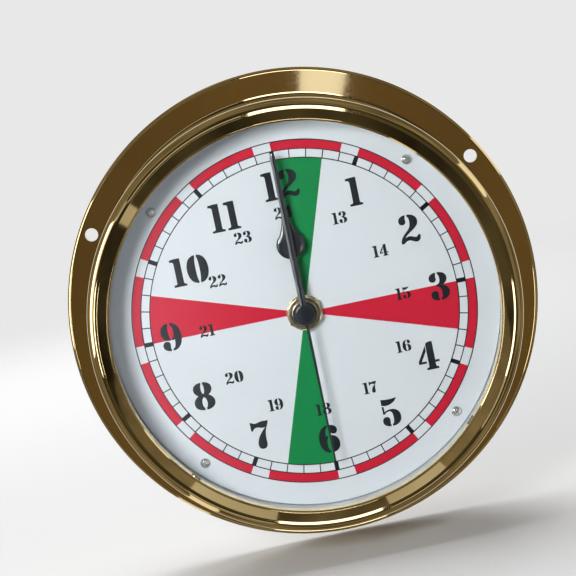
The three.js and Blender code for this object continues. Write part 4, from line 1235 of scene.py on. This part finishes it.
@dataclass
class Dial(Assembly):
    """White dial with its print, its screws and the ring round it."""

    radius: float = 59.8
    back: float = 23.6
    face: float = 24.6
    bore: float = 4.1
    screws: int = 4
    screw_inset: float = 4.0
    screw_first: float = 45.0
    screw_hole: float = 1.9
    drill: Corner = (23.0, 25.0)
    screw_gap: float = 0.25
    screw: Screw = Screw(3.0, 0.9, 1.7, 3.4, Half.FRONT)
    ring_gap: float = 0.3
    ring_width: float = 1.1
    ring_top: float = 31.8
    black_rise: float = 0.06
    colour_rise: float = 0.03
    track_inner: float = 47.3
    track_middle: float = 50.0
    track_outer: float = 52.8
    line: float = 0.32
    hour_mark: float = 1.35
    hour_mark_more: float = 0.3
    sector_root: float = 4.3
    sector_turn: float = 18.0
    stretch_turn: float = 24.0
    hour_height: float = 8.7
    small_height: float = 3.6
    hours: tuple[tuple[str, float, float], ...] = (
        ("12", 0.7, 39.7), ("1", 22.1, 33.1), ("2", 36.3, 18.6), ("3", 41.8, -0.5),
        ("4", 34.2, -20.9), ("5", 19.6, -35.7), ("6", -0.6, -40.0), ("7", -20.8, -34.5),
        ("8", -35.6, -19.0), ("9", -41.4, 1.0), ("10", -31.6, 19.8), ("11", -18.0, 33.6),
    )
    late_hours: tuple[tuple[str, float, float], ...] = (
        ("13", 16.2, 26.2), ("14", 26.4, 13.8), ("15", 30.6, -0.4), ("16", 27.5, -16.4),
        ("17", 14.9, -26.9), ("18", -0.4, -30.5), ("19", -14.5, -26.1), ("20", -25.2, -15.2),
        ("21", -30.4, 0.6), ("22", -24.0, 14.9), ("23", -13.8, 26.3), ("24", -0.2, 31.3),
    )

    def build(self) -> None:
        """Makes the plate, its print, the screws and the ring."""
        plate = hoop(self.bore, self.radius, self.back, self.face, (0.0, 0.1, 0.1, 0.1))
        aside, first = self.radius - self.screw_inset, self.screw_first
        holes = circle(aside, self.screws, first)
        plate = drilled(plate, holes, self.screw_hole, *self.drill)
        self.keep("dial_face", plate, DIAL_ENAMEL, "dial_white", ["dial_plate"])
        self.keep("dial_black_print", self.black_print(), PRINT_BLACK, "dial_white")
        self.keep("dial_red_print", self.red_print(), PRINT_RED, "dial_white")
        self.keep("dial_green_print", self.sectors(0.0, 180.0), PRINT_GREEN, "dial_white")
        inner = self.radius + self.ring_gap
        outer = inner + self.ring_width
        ring = hoop(inner, outer, self.back, self.ring_top, (0.1, 0.1, 0.25, 0.25))
        self.keep("surround_ring", ring, RING_WHITE, "ring_white", ["dial_surround_ring"])
        screw = self.screw.mesh(self.face + self.screw_gap)
        screws = RingRepeat.spread(
            screw, NICKEL, self.screws, aside, first, own_turn=150.0, seed=3
        )
        nodes = [f"dial_screw_{k}" for k in range(1, 5)]
        self.keep("dial_screws", screws, NICKEL, "bright_steel", nodes)

    def black_print(self) -> bpy.types.Mesh:
        """Circles, minute marks and numbers."""
        low, high = self.face, self.face + self.black_rise
        half = self.line / 2
        circles = [
            [circle(radius + half, FINE), hole(radius - half, FINE)]
            for radius in (self.track_inner, self.track_middle, self.track_outer)
        ]
        length = self.track_middle - self.track_inner
        middle = (self.track_middle + self.track_inner) / 2
        tick = print_solid([[bar(self.line, length)]], low, high)
        mark = print_solid([[bar(self.hour_mark, length + self.hour_mark_more)]], low, high)
        numbers: list[Shape] = []
        rounds = ((self.hours, self.hour_height), (self.late_hours, self.small_height))
        for hours, height in rounds:
            for text, x, y in hours:
                numbers += Numerals.number(text, (x, y), height)
        marks = [
            print_solid(circles, low, high),
            RingRepeat.spread(tick, PRINT_BLACK, 60, middle),
            RingRepeat.spread(mark, PRINT_BLACK, 12, middle),
            print_solid(numbers, low, high),
        ]
        return joined(marks)

    def red_print(self) -> bpy.types.Mesh:
        """Twelve arcs of the outer track, and the sectors after a quarter and three quarters."""
        stretch = ring_sector(self.track_middle, self.track_outer, 0.0, self.stretch_turn)
        arcs = print_solid([[stretch]], self.face, self.face + self.colour_rise)
        return joined([RingRepeat.spread(arcs, PRINT_RED, 12, 0.0), self.sectors(90.0, 270.0)])

    def sectors(self, *firsts: float) -> bpy.types.Mesh:
        """Sectors from the dial's hole to the inner track, each from its clock angle on."""
        root, track, turn = self.sector_root, self.track_inner, self.sector_turn
        shapes = [[ring_sector(root, track, first, first + turn)] for first in firsts]
        return print_solid(shapes, self.face, self.face + self.colour_rise)


@dataclass
class HandFixing(Assembly):
    """Bush, washers and nut that hold the movement to the dial."""

    bush_bore: float = 2.8
    bush_flange: float = 6.5
    bush_low: float = 20.05
    bush_shoulder: float = 20.85
    bush_top: float = 27.2
    thread: float = 3.9
    thread_root: float = 3.72
    thread_low: float = 20.9
    thread_pitch: float = 0.75
    thread_turns: int = 8
    nut_low: float = 25.5
    nut_top: float = 26.9
    nut_half: float = 5.0
    nut_edge: float = 0.12
    rubber: Four = (4.3, 9.0, 22.55, 23.35)  # inner and outer radius, back and front
    washer: Four = (4.1, 5.5, 24.85, 25.25)

    def build(self) -> None:
        """Makes the four pieces."""
        levels = [self.thread_low + self.thread_pitch * k for k in range(self.thread_turns)]
        section = [
            (self.bush_bore, self.bush_low, 0.1),
            (self.bush_flange, self.bush_low, 0.1),
            (self.bush_flange, self.bush_shoulder, 0.1),
            (self.thread, self.bush_shoulder),
            *ridges(self.thread, self.thread_root, levels, (0.3, 0.4, 0.7)),
            (self.thread, self.bush_top, 0.25),
            (self.bush_bore, self.bush_top, 0.2),
        ]
        bush = turned(rounded(section), SMALL)
        self.keep("threaded_bush", bush, PALE_BRASS, "plain_brass", ["centre_bush"])
        rubber = hoop(*self.rubber, (0.0, 0.15, 0.15, 0.0), SMALL)
        self.keep("rubber_ring", rubber, BLACK_RUBBER, "black_rubber", ["rubber_washer"])
        washer = hoop(*self.washer, (0.0, 0.1, 0.15, 0.1), SMALL)
        self.keep("flat_washer", washer, PALE_BRASS, "plain_brass", ["brass_washer"])
        self.keep("hexagon_nut", self.nut(), PALE_BRASS, "plain_brass", ["fixing_nut"])

    def nut(self) -> bpy.types.Mesh:
        """Hexagon nut with its corners turned off on top."""
        corner = self.nut_half / math.cos(math.radians(30.0))
        body = print_solid([[circle(corner, 6)]], self.nut_low, self.nut_top)
        outside = [(4.0, 24.0), (8.0, 24.0), (8.0, 25.2)]
        top = [(4.75, 26.95), (4.25, 26.95), (4.0, 26.7)]
        return carved(body, [turned(outside + top, SMALL)], Cut.INSIDE, self.nut_edge)


@dataclass
class Hands(Assembly):
    """Hour hand with a domed bulb, bevelled minute hand and ridged second hand."""

    hour_low: float = 27.7
    minute_low: float = 29.3
    second_low: float = 30.9
    thickness: float = 0.45
    cap: float = 0.8
    minute_stations: tuple[Station, ...] = (
        (2.6, 1.05, 0.24), (48.7, 0.8, 0.185), (49.6, 0.25, 0.05),
    )
    second_stations: tuple[Station, ...] = (
        (2.4, 0.45, 0.14), (45.4, 0.26, 0.1), (46.0, 0.16, 0.05),
    )
    hour_hub: Corner = (3.7, 2.6)  # radius and bore
    minute_hub: Corner = (3.1, 1.7)
    second_hub: Corner = (2.9, 0.0)
    tube: Four = (0.65, 1.0, 30.0, 30.65)
    bulb: float = 4.3
    bulb_middle: float = 21.4
    stem: float = 1.1
    stem_rise: float = 0.16
    bulb_rise: float = 0.3
    taper_rise: float = 0.21
    hour_tip: float = 38.0
    hour_tip_half: float = 0.25

    def build(self) -> None:
        """Makes the three hands and the small tube under the second hand."""
        hands = (
            ("spade_hand", self.hour(), "hour_hand", "hours"),
            ("baton_hand", self.minute(), "minute_hand", "minutes"),
            ("sweep_hand", self.second(), "second_hand", "seconds"),
        )
        for name, mesh, node, body in hands:
            self.keep(name, mesh, HAND_BLACK, "hand_black", [node], body, 24.0)
        tube = hoop(*self.tube, (0.0, 0.08, 0.08, 0.0), 48)
        self.keep("sweep_tube", tube, PLAIN_BRASS, "plain_brass", ["second_hand_tube"], "seconds")

    def blade(
        self,
        stations: Sequence[Station],
        low: float,
        across: int,
        crown: Callable[[float], float],
        down: bool = False,
    ) -> bpy.types.Mesh:
        """Lofts a blade along its length.

        Args:
            stations: (distance, half width, rise of the crown) from root to tip.
            low: level of its back.
            across: faces across it.
            crown: height of the crown from 0 to 1, at a place across from -1 to 1.
            down: True if it points to the half hour.

        Returns:
            The mesh.
        """
        form = bmesh.new()
        edge = low + self.thickness * 0.7
        sign = -1.0 if down else 1.0
        shares = [-1.0 + 2.0 * k / across for k in range(across + 1)]
        rows = []
        for distance, half, rise in stations:
            spots = [(share * half, edge + rise * crown(share)) for share in shares]
            spots += [(half, low), (-half, low)]
            rows.append([form.verts.new(flat_place(x, sign * distance, z)) for x, z in spots])
        size = across + 3
        for near, far in zip(rows, rows[1:]):
            for k in range(size):
                beside = (k + 1) % size
                form.faces.new((near[k], near[beside], far[beside], far[k]))
        form.faces.new(rows[0])
        form.faces.new(list(reversed(rows[-1])))
        return mesh_of(form)

    def hub(self, radius: float, bore: float, low: float, rise: float) -> bpy.types.Mesh:
        """Round hub disc, with its upper edge rounded."""
        return hoop(bore, radius, low, low + rise, (0.0, 0.05, 0.2, 0.0), 72)

    def hour(self) -> bpy.types.Mesh:
        """Hour hand: stem, domed bulb and hollow taper."""
        bulb, middle, stem, rise = self.bulb, self.bulb_middle, self.stem, self.stem_rise
        first, last = -math.acos(stem / bulb), math.pi / 4
        foot = middle + bulb * math.sin(first) - 0.05
        stations = [(3.4, stem, rise), (12.0, stem, rise), (foot, stem, rise)]
        for k in range(25):
            turn = first + (last - first) * k / 24
            crown = rise + self.bulb_rise * math.cos(turn)
            stations.append((middle + bulb * math.sin(turn), bulb * math.cos(turn), crown))
        start = Vector((bulb * math.cos(last), middle + bulb * math.sin(last)))
        bend = Vector((stem * 0.7, middle + bulb * 1.3))
        tip = Vector((self.hour_tip_half, self.hour_tip))
        for k in range(1, 17):
            t = k / 16
            here = start * (1 - t) ** 2 + bend * 2 * t * (1 - t) + tip * t * t
            stations.append((here.y, here.x, rise + self.taper_rise * (1 - t) ** 2))
        blade = self.blade(stations, self.hour_low, 12, lambda u: math.sqrt(max(0.0, 1 - u * u)))
        return joined([blade, self.hub(*self.hour_hub, self.hour_low, self.thickness)])

    def minute(self) -> bpy.types.Mesh:
        """Minute hand: straight, with a bevel along each side."""
        low, stations = self.minute_low, self.minute_stations
        blade = self.blade(stations, low, 10, lambda u: min(1.0, 1.25 * (1.0 - abs(u))))
        return joined([blade, self.hub(*self.minute_hub, low, self.thickness)])

    def second(self) -> bpy.types.Mesh:
        """Second hand: thin, with a round cap over the hub."""
        low, stations = self.second_low, self.second_stations
        blade = self.blade(stations, low, 2, lambda u: 1.0 - abs(u), True)
        return joined([blade, self.hub(*self.second_hub, low, self.cap)])


@dataclass
class Back(Assembly):
    """Rear cover with its screws, the battery and the setting knob."""

    cover_outer: float = 66.4
    cover_inner: float = 42.0
    cover_low: float = 1.2
    cover_top: float = 2.0
    screws: int = 4
    screw_circle: float = 63.6
    screw_first: float = 45.0
    screw_hole: float = 2.4
    drill: Corner = (0.0, 3.0)
    screw_gap: float = 0.25
    screw: Screw = Screw(4.0, 0.75, 2.2, 3.4, Half.BACK)
    sleeve: float = 0.62
    pole: float = 2.7
    knob_radius: float = 5.05
    knob_front: float = 6.7
    knob_dish: float = 0.5
    knob_ridges: int = 36
    stem: float = 1.4
    stem_top: float = 16.9
    gear_teeth: int = 12
    gear_module: float = 0.4
    gear_levels: Corner = (16.5, 17.5)

    def build(self) -> None:
        """Makes the cover, its screws, the battery and the knob."""
        inner, outer, low = self.cover_inner, self.cover_outer, self.cover_low
        cover = hoop(inner, outer, low, self.cover_top, (0.25, 0.25, 0.2, 0.25))
        aside, first = self.screw_circle, self.screw_first
        holes = circle(aside, self.screws, first)
        cover = drilled(cover, holes, self.screw_hole, *self.drill)
        self.keep("back_plate", cover, PLAIN_BRASS, "plain_brass", ["rear_cover"])
        screw = self.screw.mesh(low - self.screw_gap)
        screws = RingRepeat.spread(
            screw, BRIGHT_STEEL, self.screws, aside, first, own_turn=150.0, seed=5
        )
        nodes = [f"rear_cover_screw_{k}" for k in range(1, 5)]
        self.keep("back_screws", screws, BRIGHT_STEEL, "bright_steel", nodes)
        self.battery()
        self.knob()

    def battery(self) -> None:
        """Cell with a plain wrap, bare metal ends and a raised pole."""
        low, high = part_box("battery")
        middle = (Vector(low) + Vector(high)) / 2
        radius, length = (high[2] - low[2]) / 2 / MM, (high[0] - low[0]) / MM
        half = length / 2
        turn = Matrix.Translation(middle) @ Matrix.Rotation(math.pi / 2, 4, "Z")

        def along(section: Section) -> bpy.types.Mesh:
            """Turns a section of radius and distance about the cell's own axis."""
            mesh = turned(rounded(section), SMALL)
            mesh.transform(turn)
            return mesh

        wrap = [
            (0.0, -half + 0.35), (radius - 1.3, -half + 0.35), (radius - 1.3, -half + 0.12),
            (radius - 0.04, -half + 0.12, 0.6), (radius - 0.04, half - 1.0, 0.6),
            (radius - 1.6, half - 1.0), (radius - 1.6, half - 1.25), (0.0, half - 1.25),
        ]
        self.keep("cell", along(wrap), BATTERY_WRAP, "battery_wrap", ["battery"], "battery")
        reach = -half + self.sleeve * length
        sleeve = along([
            (radius - 1.3, -half + 0.1), (radius, -half + 0.1, 0.62), (radius, reach),
            (radius - 0.06, reach), (radius - 0.06, -half + 0.9), (radius - 1.3, -half + 0.2),
        ])
        self.keep("cell_sleeve", sleeve, BATTERY_SLEEVE, "battery_wrap", (), "battery")
        edge = radius - 0.05
        foot = [
            (0.0, -half + 0.4), (edge - 1.4, -half + 0.4), (edge - 1.4, -half, 0.2), (0.0, -half),
        ]
        head = [
            (0.0, half - 1.3), (edge - 1.8, half - 1.3), (edge - 1.8, half - 1.05, 0.15),
            (self.pole, half - 1.05), (self.pole, half, 0.3), (0.0, half),
        ]
        ends = joined([along(foot), along(head)])
        self.keep("cell_ends", ends, BRIGHT_STEEL, "bright_steel", (), "battery")

    def knob(self) -> None:
        """Setting knob with a gripped edge and a dished top."""
        low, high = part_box("setting_knob")
        x, y = (low[0] + high[0]) / 2 / MM, (low[2] + high[2]) / 2 / MM
        back, front = -high[1] / MM, self.knob_front
        dished = back + self.knob_dish
        section = [
            (0.0, front), (self.knob_radius, front, 0.2), (self.knob_radius, back, 0.3),
            (3.9, back, 0.2), (3.4, dished, 0.3), (0.0, dished),
        ]
        dish = turned(rounded(section), SMALL)
        tooth = [(-0.32, 4.7), (0.32, 4.7), (0.2, 5.5), (-0.2, 5.5)]
        grip = print_solid([[tooth]], back + 0.3, front)
        ridged = RingRepeat.spread(grip, WHITE_PLASTIC, self.knob_ridges, 0.0)
        foot, top, radius = front - 0.3, self.stem_top, self.stem
        stem = turned([(0.0, foot), (radius, foot), (radius, top), (0.0, top)], 40)
        gear = self.gear(self.gear_teeth, self.gear_module, *self.gear_levels)
        mesh = joined([dish, ridged, stem, gear])
        mesh.transform(Matrix.Translation(flat_place(x, y, 0.0)))
        self.keep("knob", mesh, WHITE_PLASTIC, "white_plastic", ["setting_knob"], "setting_knob")

    @staticmethod
    def gear(teeth: int, module: float, low: float, high: float) -> bpy.types.Mesh:
        """Small toothed wheel on the axis.

        Args:
            teeth: how many teeth.
            module: pitch diameter for each tooth.
            low: level of its back.
            high: level of its front.

        Returns:
            The mesh.
        """
        pitch = teeth * module / 2
        outline: Outline = []
        for k in range(teeth):
            for radius, share in ((-1.2, -0.26), (0.8, -0.1), (0.8, 0.1), (-1.2, 0.26)):
                turn = 2 * math.pi * (k + share) / teeth
                reach = pitch + radius * module
                outline.append((reach * math.cos(turn), reach * math.sin(turn)))
        return print_solid([[outline]], low, high)


@dataclass
class Movement(Assembly):
    """Movement behind the dial, whose solids keep their shapes and get softer edges."""

    mark_rise: float = 0.35
    mark_sink: float = 0.1
    mark_width: float = 0.65
    arrow_radius: float = 7.2
    arrow_firsts: Corner = (35.0, 215.0)
    arrow_turn: float = 105.0
    arrow_head: float = 13.0
    post_inset: float = 3.6
    post_radius: float = 1.9
    boss_radius: float = 5.6
    post_above_cell: float = 2.6
    sign_above_cell: float = 3.4
    sign_inset: float = 8.0
    sign_long: float = 2.2
    sign_short: float = 0.4
    frame: Four = (6.5, 24.0, 4.0, 19.5)  # left, right, foot and top

    def build(self, nodes: dict[str, bpy.types.Object]) -> None:
        """Dresses the movement.

        Args:
            nodes: the frame's CAD objects by name.
        """
        for node, (name, width, finish, slot) in SOFTENED.items():
            self.keep(name, self.softened(nodes[node], width), finish, slot, [node])
        self.keep("movement_marks", self.marks(), GLOSSY_PLASTIC, "black_plastic")
        for finish, names in DRESSED.items():
            for node in names.split():
                materials = nodes[node].data.materials
                materials.clear()
                materials.append(finish.material())
                log.info("%s: dressed", node)

    def marks(self) -> bpy.types.Mesh:
        """Marks moulded on the back: arrows at the knob, the cell's signs, rings, a frame."""
        low, high = (Vector(corner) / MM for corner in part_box("movement_rear_case"))
        knob_low, knob_high = (Vector(corner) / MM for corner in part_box("setting_knob"))
        cell_low, cell_high = (Vector(corner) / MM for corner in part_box("battery"))
        knob = ((knob_low.x + knob_high.x) / 2, (knob_low.z + knob_high.z) / 2)
        line, shaft = self.mark_width, self.arrow_radius
        head = shaft + line / 2
        shapes: list[Shape] = []
        for first in self.arrow_firsts:
            last = first + self.arrow_turn
            tip = spot(head, last + self.arrow_head)
            wings = [spot(head + 2 * line, last), tip, spot(head - 2 * line, last)]
            outline = arc(shaft + line, first, last, 30) + wings + arc(shaft, last, first, 30)
            shapes.append([moved(outline, knob)])
        post = self.post_inset
        across = (low.x + post, high.x - post)
        levels = (cell_high.z + self.post_above_cell, high.z - post)
        rings = [((0.0, 0.0), self.boss_radius)]
        rings += [((x, y), self.post_radius) for x in across for y in levels]
        for place, radius in rings:
            loops = (circle(radius, 40), hole(radius - line, 40))
            shapes.append([moved(loop, place) for loop in loops])
        arm, half = self.sign_long, self.sign_short
        row = cell_high.z + self.sign_above_cell
        minus = upright(-arm, arm, -half, half)
        plus = [
            (-half, -arm), (half, -arm), (half, -half), (arm, -half), (arm, half), (half, half),
            (half, arm), (-half, arm), (-half, half), (-arm, half), (-arm, -half), (-half, -half),
        ]
        shapes.append([moved(minus, (cell_low.x + self.sign_inset, row))])
        shapes.append([moved(plus, (cell_high.x - self.sign_inset, row))])
        left, right, foot, top = self.frame
        inside = upright(left + line, right - line, top - line, foot + line)
        shapes.append([upright(left, right, foot, top), inside])
        level = -high.y
        return print_solid(shapes, level - self.mark_rise, level + self.mark_sink)

    @staticmethod
    def softened(source: bpy.types.Object, width: float) -> bpy.types.Mesh:
        """Copy of a solid with its sharp edges eased.

        Args:
            source: the CAD object, which stays as it is.
            width: width of the eased edges.

        Returns:
            The mesh.
        """
        form = bmesh.new()
        form.from_mesh(source.data)
        form.transform(source.matrix_world)
        bmesh.ops.remove_doubles(form, verts=form.verts, dist=10 * WELD)
        straight = math.radians(1.0)
        bmesh.ops.dissolve_limit(form, angle_limit=straight, verts=form.verts, edges=form.edges)
        holder = placed("soft", mesh_of(form))
        eased(holder, width, 40.0, 2)
        result = applied(holder)
        result.materials.clear()
        bpy.data.objects.remove(holder)
        return result


@dataclass
class Studio:
    """Pale floor, soft lamps, cards for the brass, and the camera."""

    floor_level: float = -76.0
    turn: float = 11.7
    lean: float = 7.1
    lean_turn: float = 2.2
    distance: float = 520.0
    focal_pixels: float = 1700.0
    image_size: float = 576.0
    dial_pixel: Corner = (304.7, 312.1)
    dial_level: float = 24.6
    roll_radius: float = 62.5
    roll_level: float = 38.0
    mirror_shift: float = 1.86
    floor_radius: float = 3.0
    light: tuple[Colour, float] = ((0.95, 0.98, 1.0), 0.16)
    backdrop: tuple[Colour, float] = ((0.94, 0.94, 0.94), 0.86)
    card_height: float = 1000.0
    pane_radius: float = 180.0
    flange_ring: Four = (179.0, 292.0, 22.2, 370.7)
    flange_window: Four = (179.0, 240.0, 10.7, 22.2)
    wall: Corner = (170.0, 905.0)
    hand_window: Four = (-645.0, -545.0, -180.0, 80.0)
    windows: tuple[tuple[str, float, float, float, float, Glow], ...] = (
        ("top", -4.0, 22.0, 3.5, 12.0, WHITE_CARD),
        ("right", 92.0, 118.0, 2.5, 8.0, WHITE_CARD),
        ("lower_right", 118.0, 134.0, 4.0, 9.0, TAN_CARD),
        ("bottom", 170.0, 199.0, 3.0, 11.0, WHITE_CARD),
        ("band_left", 309.0, 315.0, 12.0, 20.0, TAN_CARD),
        ("upper_left", 315.0, 354.0, 7.0, 11.0, TAN_CARD),
    )
    bands: tuple[tuple[str, float, Corner, Corner, Glow], ...] = (
        ("room", 900.0, (0.0, 360.0), (-900.0, 1008.0), ROOM_CARD),
        ("side_window", 880.0, (264.0, 302.0), (215.0, 640.0), WHITE_CARD),
        ("side_strip", 880.0, (264.0, 302.0), (640.0, 985.0), PALE_CARD),
        ("strip_1", 870.0, (62.0, 74.0), (-650.0, 450.0), PALE_CARD),
        ("strip_2", 870.0, (212.0, 220.0), (-650.0, 450.0), PALE_CARD),
        ("band_low", 870.0, (197.0, 219.0), (740.0, 998.0), TAN_CARD),
        ("band_right", 870.0, (154.0, 170.0), (740.0, 998.0), TAN_CARD),
    )

    def build(self) -> None:
        """Makes everything round the clock."""
        self.floor()
        self.world()
        self.lamps()
        self.cards()
        self.camera()

    def floor(self) -> None:
        """Pale floor that fades into the background at its rim."""
        form = bmesh.new()
        radius = self.floor_radius
        bmesh.ops.create_circle(form, cap_ends=True, radius=radius, segments=SMALL)
        mesh = mesh_of(form, weld=False, turn_out=False)
        mesh.transform(Matrix.Translation((0.0, 0.0, self.floor_level * MM)))
        mesh.materials.append(FloorFinish().material())
        floor = placed("floor", mesh)
        floor.visible_diffuse = False
        floor.visible_glossy = False
        floor.visible_transmission = False

    def world(self) -> None:
        """Even light, with a pale background where the camera, metal and glass see it."""
        world = bpy.data.worlds.new("studio")
        bpy.context.scene.world = world
        world.use_nodes = True
        board = NodeBoard(world.node_tree)
        nodes = world.node_tree.nodes
        light = nodes["Background"]
        seen = board.add("ShaderNodeBackground")
        for node, (colour, strength) in ((light, self.light), (seen, self.backdrop)):
            board.fill(node, {"Color": (*colour, 1.0), "Strength": strength})
        path = board.add("ShaderNodeLightPath").outputs
        bounced = board.math("MAXIMUM", path["Is Glossy Ray"], path["Is Transmission Ray"])
        rays = board.math("MAXIMUM", path["Is Camera Ray"], bounced)
        sides = {0: rays, 1: light.outputs[0], 2: seen.outputs[0]}
        mix = board.add("ShaderNodeMixShader", sides)
        board.fill(nodes["World Output"], {"Surface": mix.outputs[0]})

    def lamp(
        self,
        name: str,
        place: Vector,
        size: float,
        watts: float,
        tint: Colour = (1.0, 1.0, 1.0),
        aim: Vector = Vector((0.0, -0.025, 0.0)),
        spread: float = 180.0,
    ) -> None:
        """Adds a square lamp.

        Args:
            name: its name.
            place: where it stands, in metres.
            size: its side, in metres.
            watts: its power.
            tint: its colour.
            aim: the point that it faces.
            spread: how wide its light goes, in degrees.
        """
        data = bpy.data.lights.new(name, "AREA")
        data.spread = math.radians(spread)
        data.energy = watts
        data.size = size
        data.color = tint
        lamp = placed(name, data)
        lamp.location = place
        lamp.rotation_mode = "QUATERNION"
        lamp.rotation_quaternion = (aim - place).to_track_quat("-Z", "Y")
        lamp.visible_glossy = False
        lamp.visible_camera = False

    def lamps(self) -> None:
        """Key lamp from the left, a weak fill from the right, one above and one behind."""
        key = clock_place(215.0, 304.0, 445.0)
        aim = Vector((-0.03, -0.025, 0.005))
        self.lamp("key", key, 0.15, 0.77, (1.0, 0.99, 0.985), aim, 110.0)
        self.lamp("fill", Vector((0.5, -0.9, -0.1)), 0.8, 1.2, (0.95, 0.98, 1.0))
        self.lamp("back", Vector((-0.3, 0.75, 0.45)), 0.5, 4.5)
        self.lamp("top", Vector((0.0, 0.25, 1.3)), 1.0, 15.0, aim=Vector((0.0, 0.2, 0.0)))

    def cards(self) -> None:
        """Cards that only reflections see: a dark room with windows and lit strips."""
        front = self.card_height
        shift = clock_place(-self.mirror_shift * self.aside(), self.lean_turn, 0.0) / MM
        middle = (shift.x, shift.z)
        pane, inner = circle(self.pane_radius, 64), hole(self.wall[0], 64)
        ring, window = ring_sector(*self.flange_ring), ring_sector(*self.flange_window)
        self.card("pane_card", [moved(pane, middle)], front, PANE_CARD)
        self.card("flange_card", [moved(ring, middle)], front + 2.0, BROWN_CARD)
        self.card("flange_window", [moved(window, middle)], front, GOLD_CARD)
        self.card("front_wall", [circle(self.wall[1], 64), inner], front + 6.0, OLIVE_CARD)
        for name, first, last, low, high, glow in self.windows:
            outline = self.mirrored(first, last, low, high, front - 10.0)
            self.card(f"window_{name}", [outline], front - 10.0, glow)
        for row in self.bands:
            self.band(*row)
        self.card("hand_window", [upright(*self.hand_window)], front - 20.0, GLINT_CARD)

    def aside(self) -> float:
        """How far the camera stands beside the hands' axis, in millimetres."""
        return self.distance * math.sin(math.radians(self.lean))

    def mirrored(
        self, first: float, last: float, low: float, high: float, height: float
    ) -> Outline:
        """Outline of a card that shows in a stretch of the bezel's roll.

        Args:
            first: clock angle at which the stretch starts.
            last: clock angle at which it ends.
            low: tilt of the roll at the stretch's inner side, in degrees.
            high: tilt at its outer side.
            height: how far in front of the wall plane the card stands.

        Returns:
            The outline on the card's plane.
        """
        steps = max(2, int((last - first) / 3))
        turns = [first + (last - first) * k / steps for k in range(steps + 1)]
        inner = [self.mirror_place(turn, low, height) for turn in turns]
        outer = [self.mirror_place(turn, high, height) for turn in reversed(turns)]
        return inner + outer

    def mirror_place(self, turn: float, tilt: float, height: float) -> Corner:
        """Finds the place that the camera sees in the bezel's roll.

        Args:
            turn: clock angle on the roll.
            tilt: its tilt there, in degrees.
            height: how far in front of the wall plane the card stands.

        Returns:
            x and y on the card's plane.
        """
        place = clock_place(self.roll_radius, turn, self.roll_level)
        camera = clock_place(self.aside(), self.lean_turn, self.dial_level + self.distance)
        ray = (place - camera).normalized()
        outward = clock_place(1.0, turn, 0.0).normalized()
        lean = math.radians(tilt)
        normal = outward * math.sin(lean) + Vector((0.0, -math.cos(lean), 0.0))
        away = ray - normal * 2 * ray.dot(normal)
        reach = (-height * MM - place.y) / away.y
        seen = place + away * reach
        return seen.x / MM, seen.z / MM

    def card(self, name: str, shape: Shape, height: float, glow: Glow) -> None:
        """Adds a flat card parallel to the wall.

        Args:
            name: its name.
            shape: its outer edge and its holes.
            height: its distance in front of the wall plane, in millimetres.
            glow: its light.
        """
        self.reflected(name, print_solid([shape], height, height + 1.0), glow)

    def band(self, name: str, radius: float, angles: Corner, heights: Corner, glow: Glow) -> None:
        """Adds a part of a drum round the hands' axis.

        Args:
            name: its name.
            radius: the drum's radius in millimetres.
            angles: clock angles at which it starts and ends.
            heights: how far in front of the wall plane it starts and ends.
            glow: its light.
        """
        form = bmesh.new()
        steps = max(4, int((angles[1] - angles[0]) / 4))
        rows = []
        for k in range(steps + 1):
            angle = angles[0] + (angles[1] - angles[0]) * k / steps
            rows.append([form.verts.new(clock_place(radius, angle, h)) for h in heights])
        for here, there in zip(rows, rows[1:]):
            form.faces.new((here[0], here[1], there[1], there[0]))
        self.reflected(name, mesh_of(form, weld=False, turn_out=False), glow)

    @staticmethod
    def reflected(name: str, mesh: bpy.types.Mesh, glow: Glow) -> None:
        """Adds a stage object that only reflections see."""
        mesh.materials.append(glow.material())
        card = placed(name, mesh)
        card.visible_camera = False
        card.visible_diffuse = False
        card.visible_shadow = False

    def camera(self) -> None:
        """Camera at the photograph's angle, its dial centre and turn as there."""
        lean = math.radians(self.lean)
        towards = clock_place(1.0, self.turn, 0.0).normalized()
        aside = clock_place(1.0, self.lean_turn, 0.0).normalized()
        back = Vector((0.0, -math.cos(lean), 0.0)) + aside * math.sin(lean)
        ahead = -back
        up = (towards - ahead * towards.dot(ahead)).normalized()
        right = ahead.cross(up)
        across, down = (
            (pixel - self.image_size / 2) / self.focal_pixels for pixel in self.dial_pixel
        )
        aim = (ahead - right * across + up * down).normalized()
        up = (up - aim * up.dot(aim)).normalized()
        data = bpy.data.cameras.new("camera")
        data.sensor_width = 36.0
        data.lens = self.focal_pixels / self.image_size * data.sensor_width
        camera = placed("camera", data)
        camera.matrix_world = Matrix((aim.cross(up), up, -aim)).transposed().to_4x4()
        camera.location = flat_place(0.0, 0.0, self.dial_level) + back * self.distance * MM
        bpy.context.scene.camera = camera


def main() -> None:
    """Loads the frame and dresses the clock piece by piece."""
    logging.basicConfig(level=logging.INFO, format="%(name)s %(message)s")
    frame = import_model()
    bpy.context.scene.view_settings.view_transform = "Standard"
    Studio().build()
    Case().build()
    Bezel().build()
    Dial().build()
    HandFixing().build()
    Hands().build()
    Back().build()
    Movement().build(frame["nodes"])


if __name__ == "__main__":
    main()
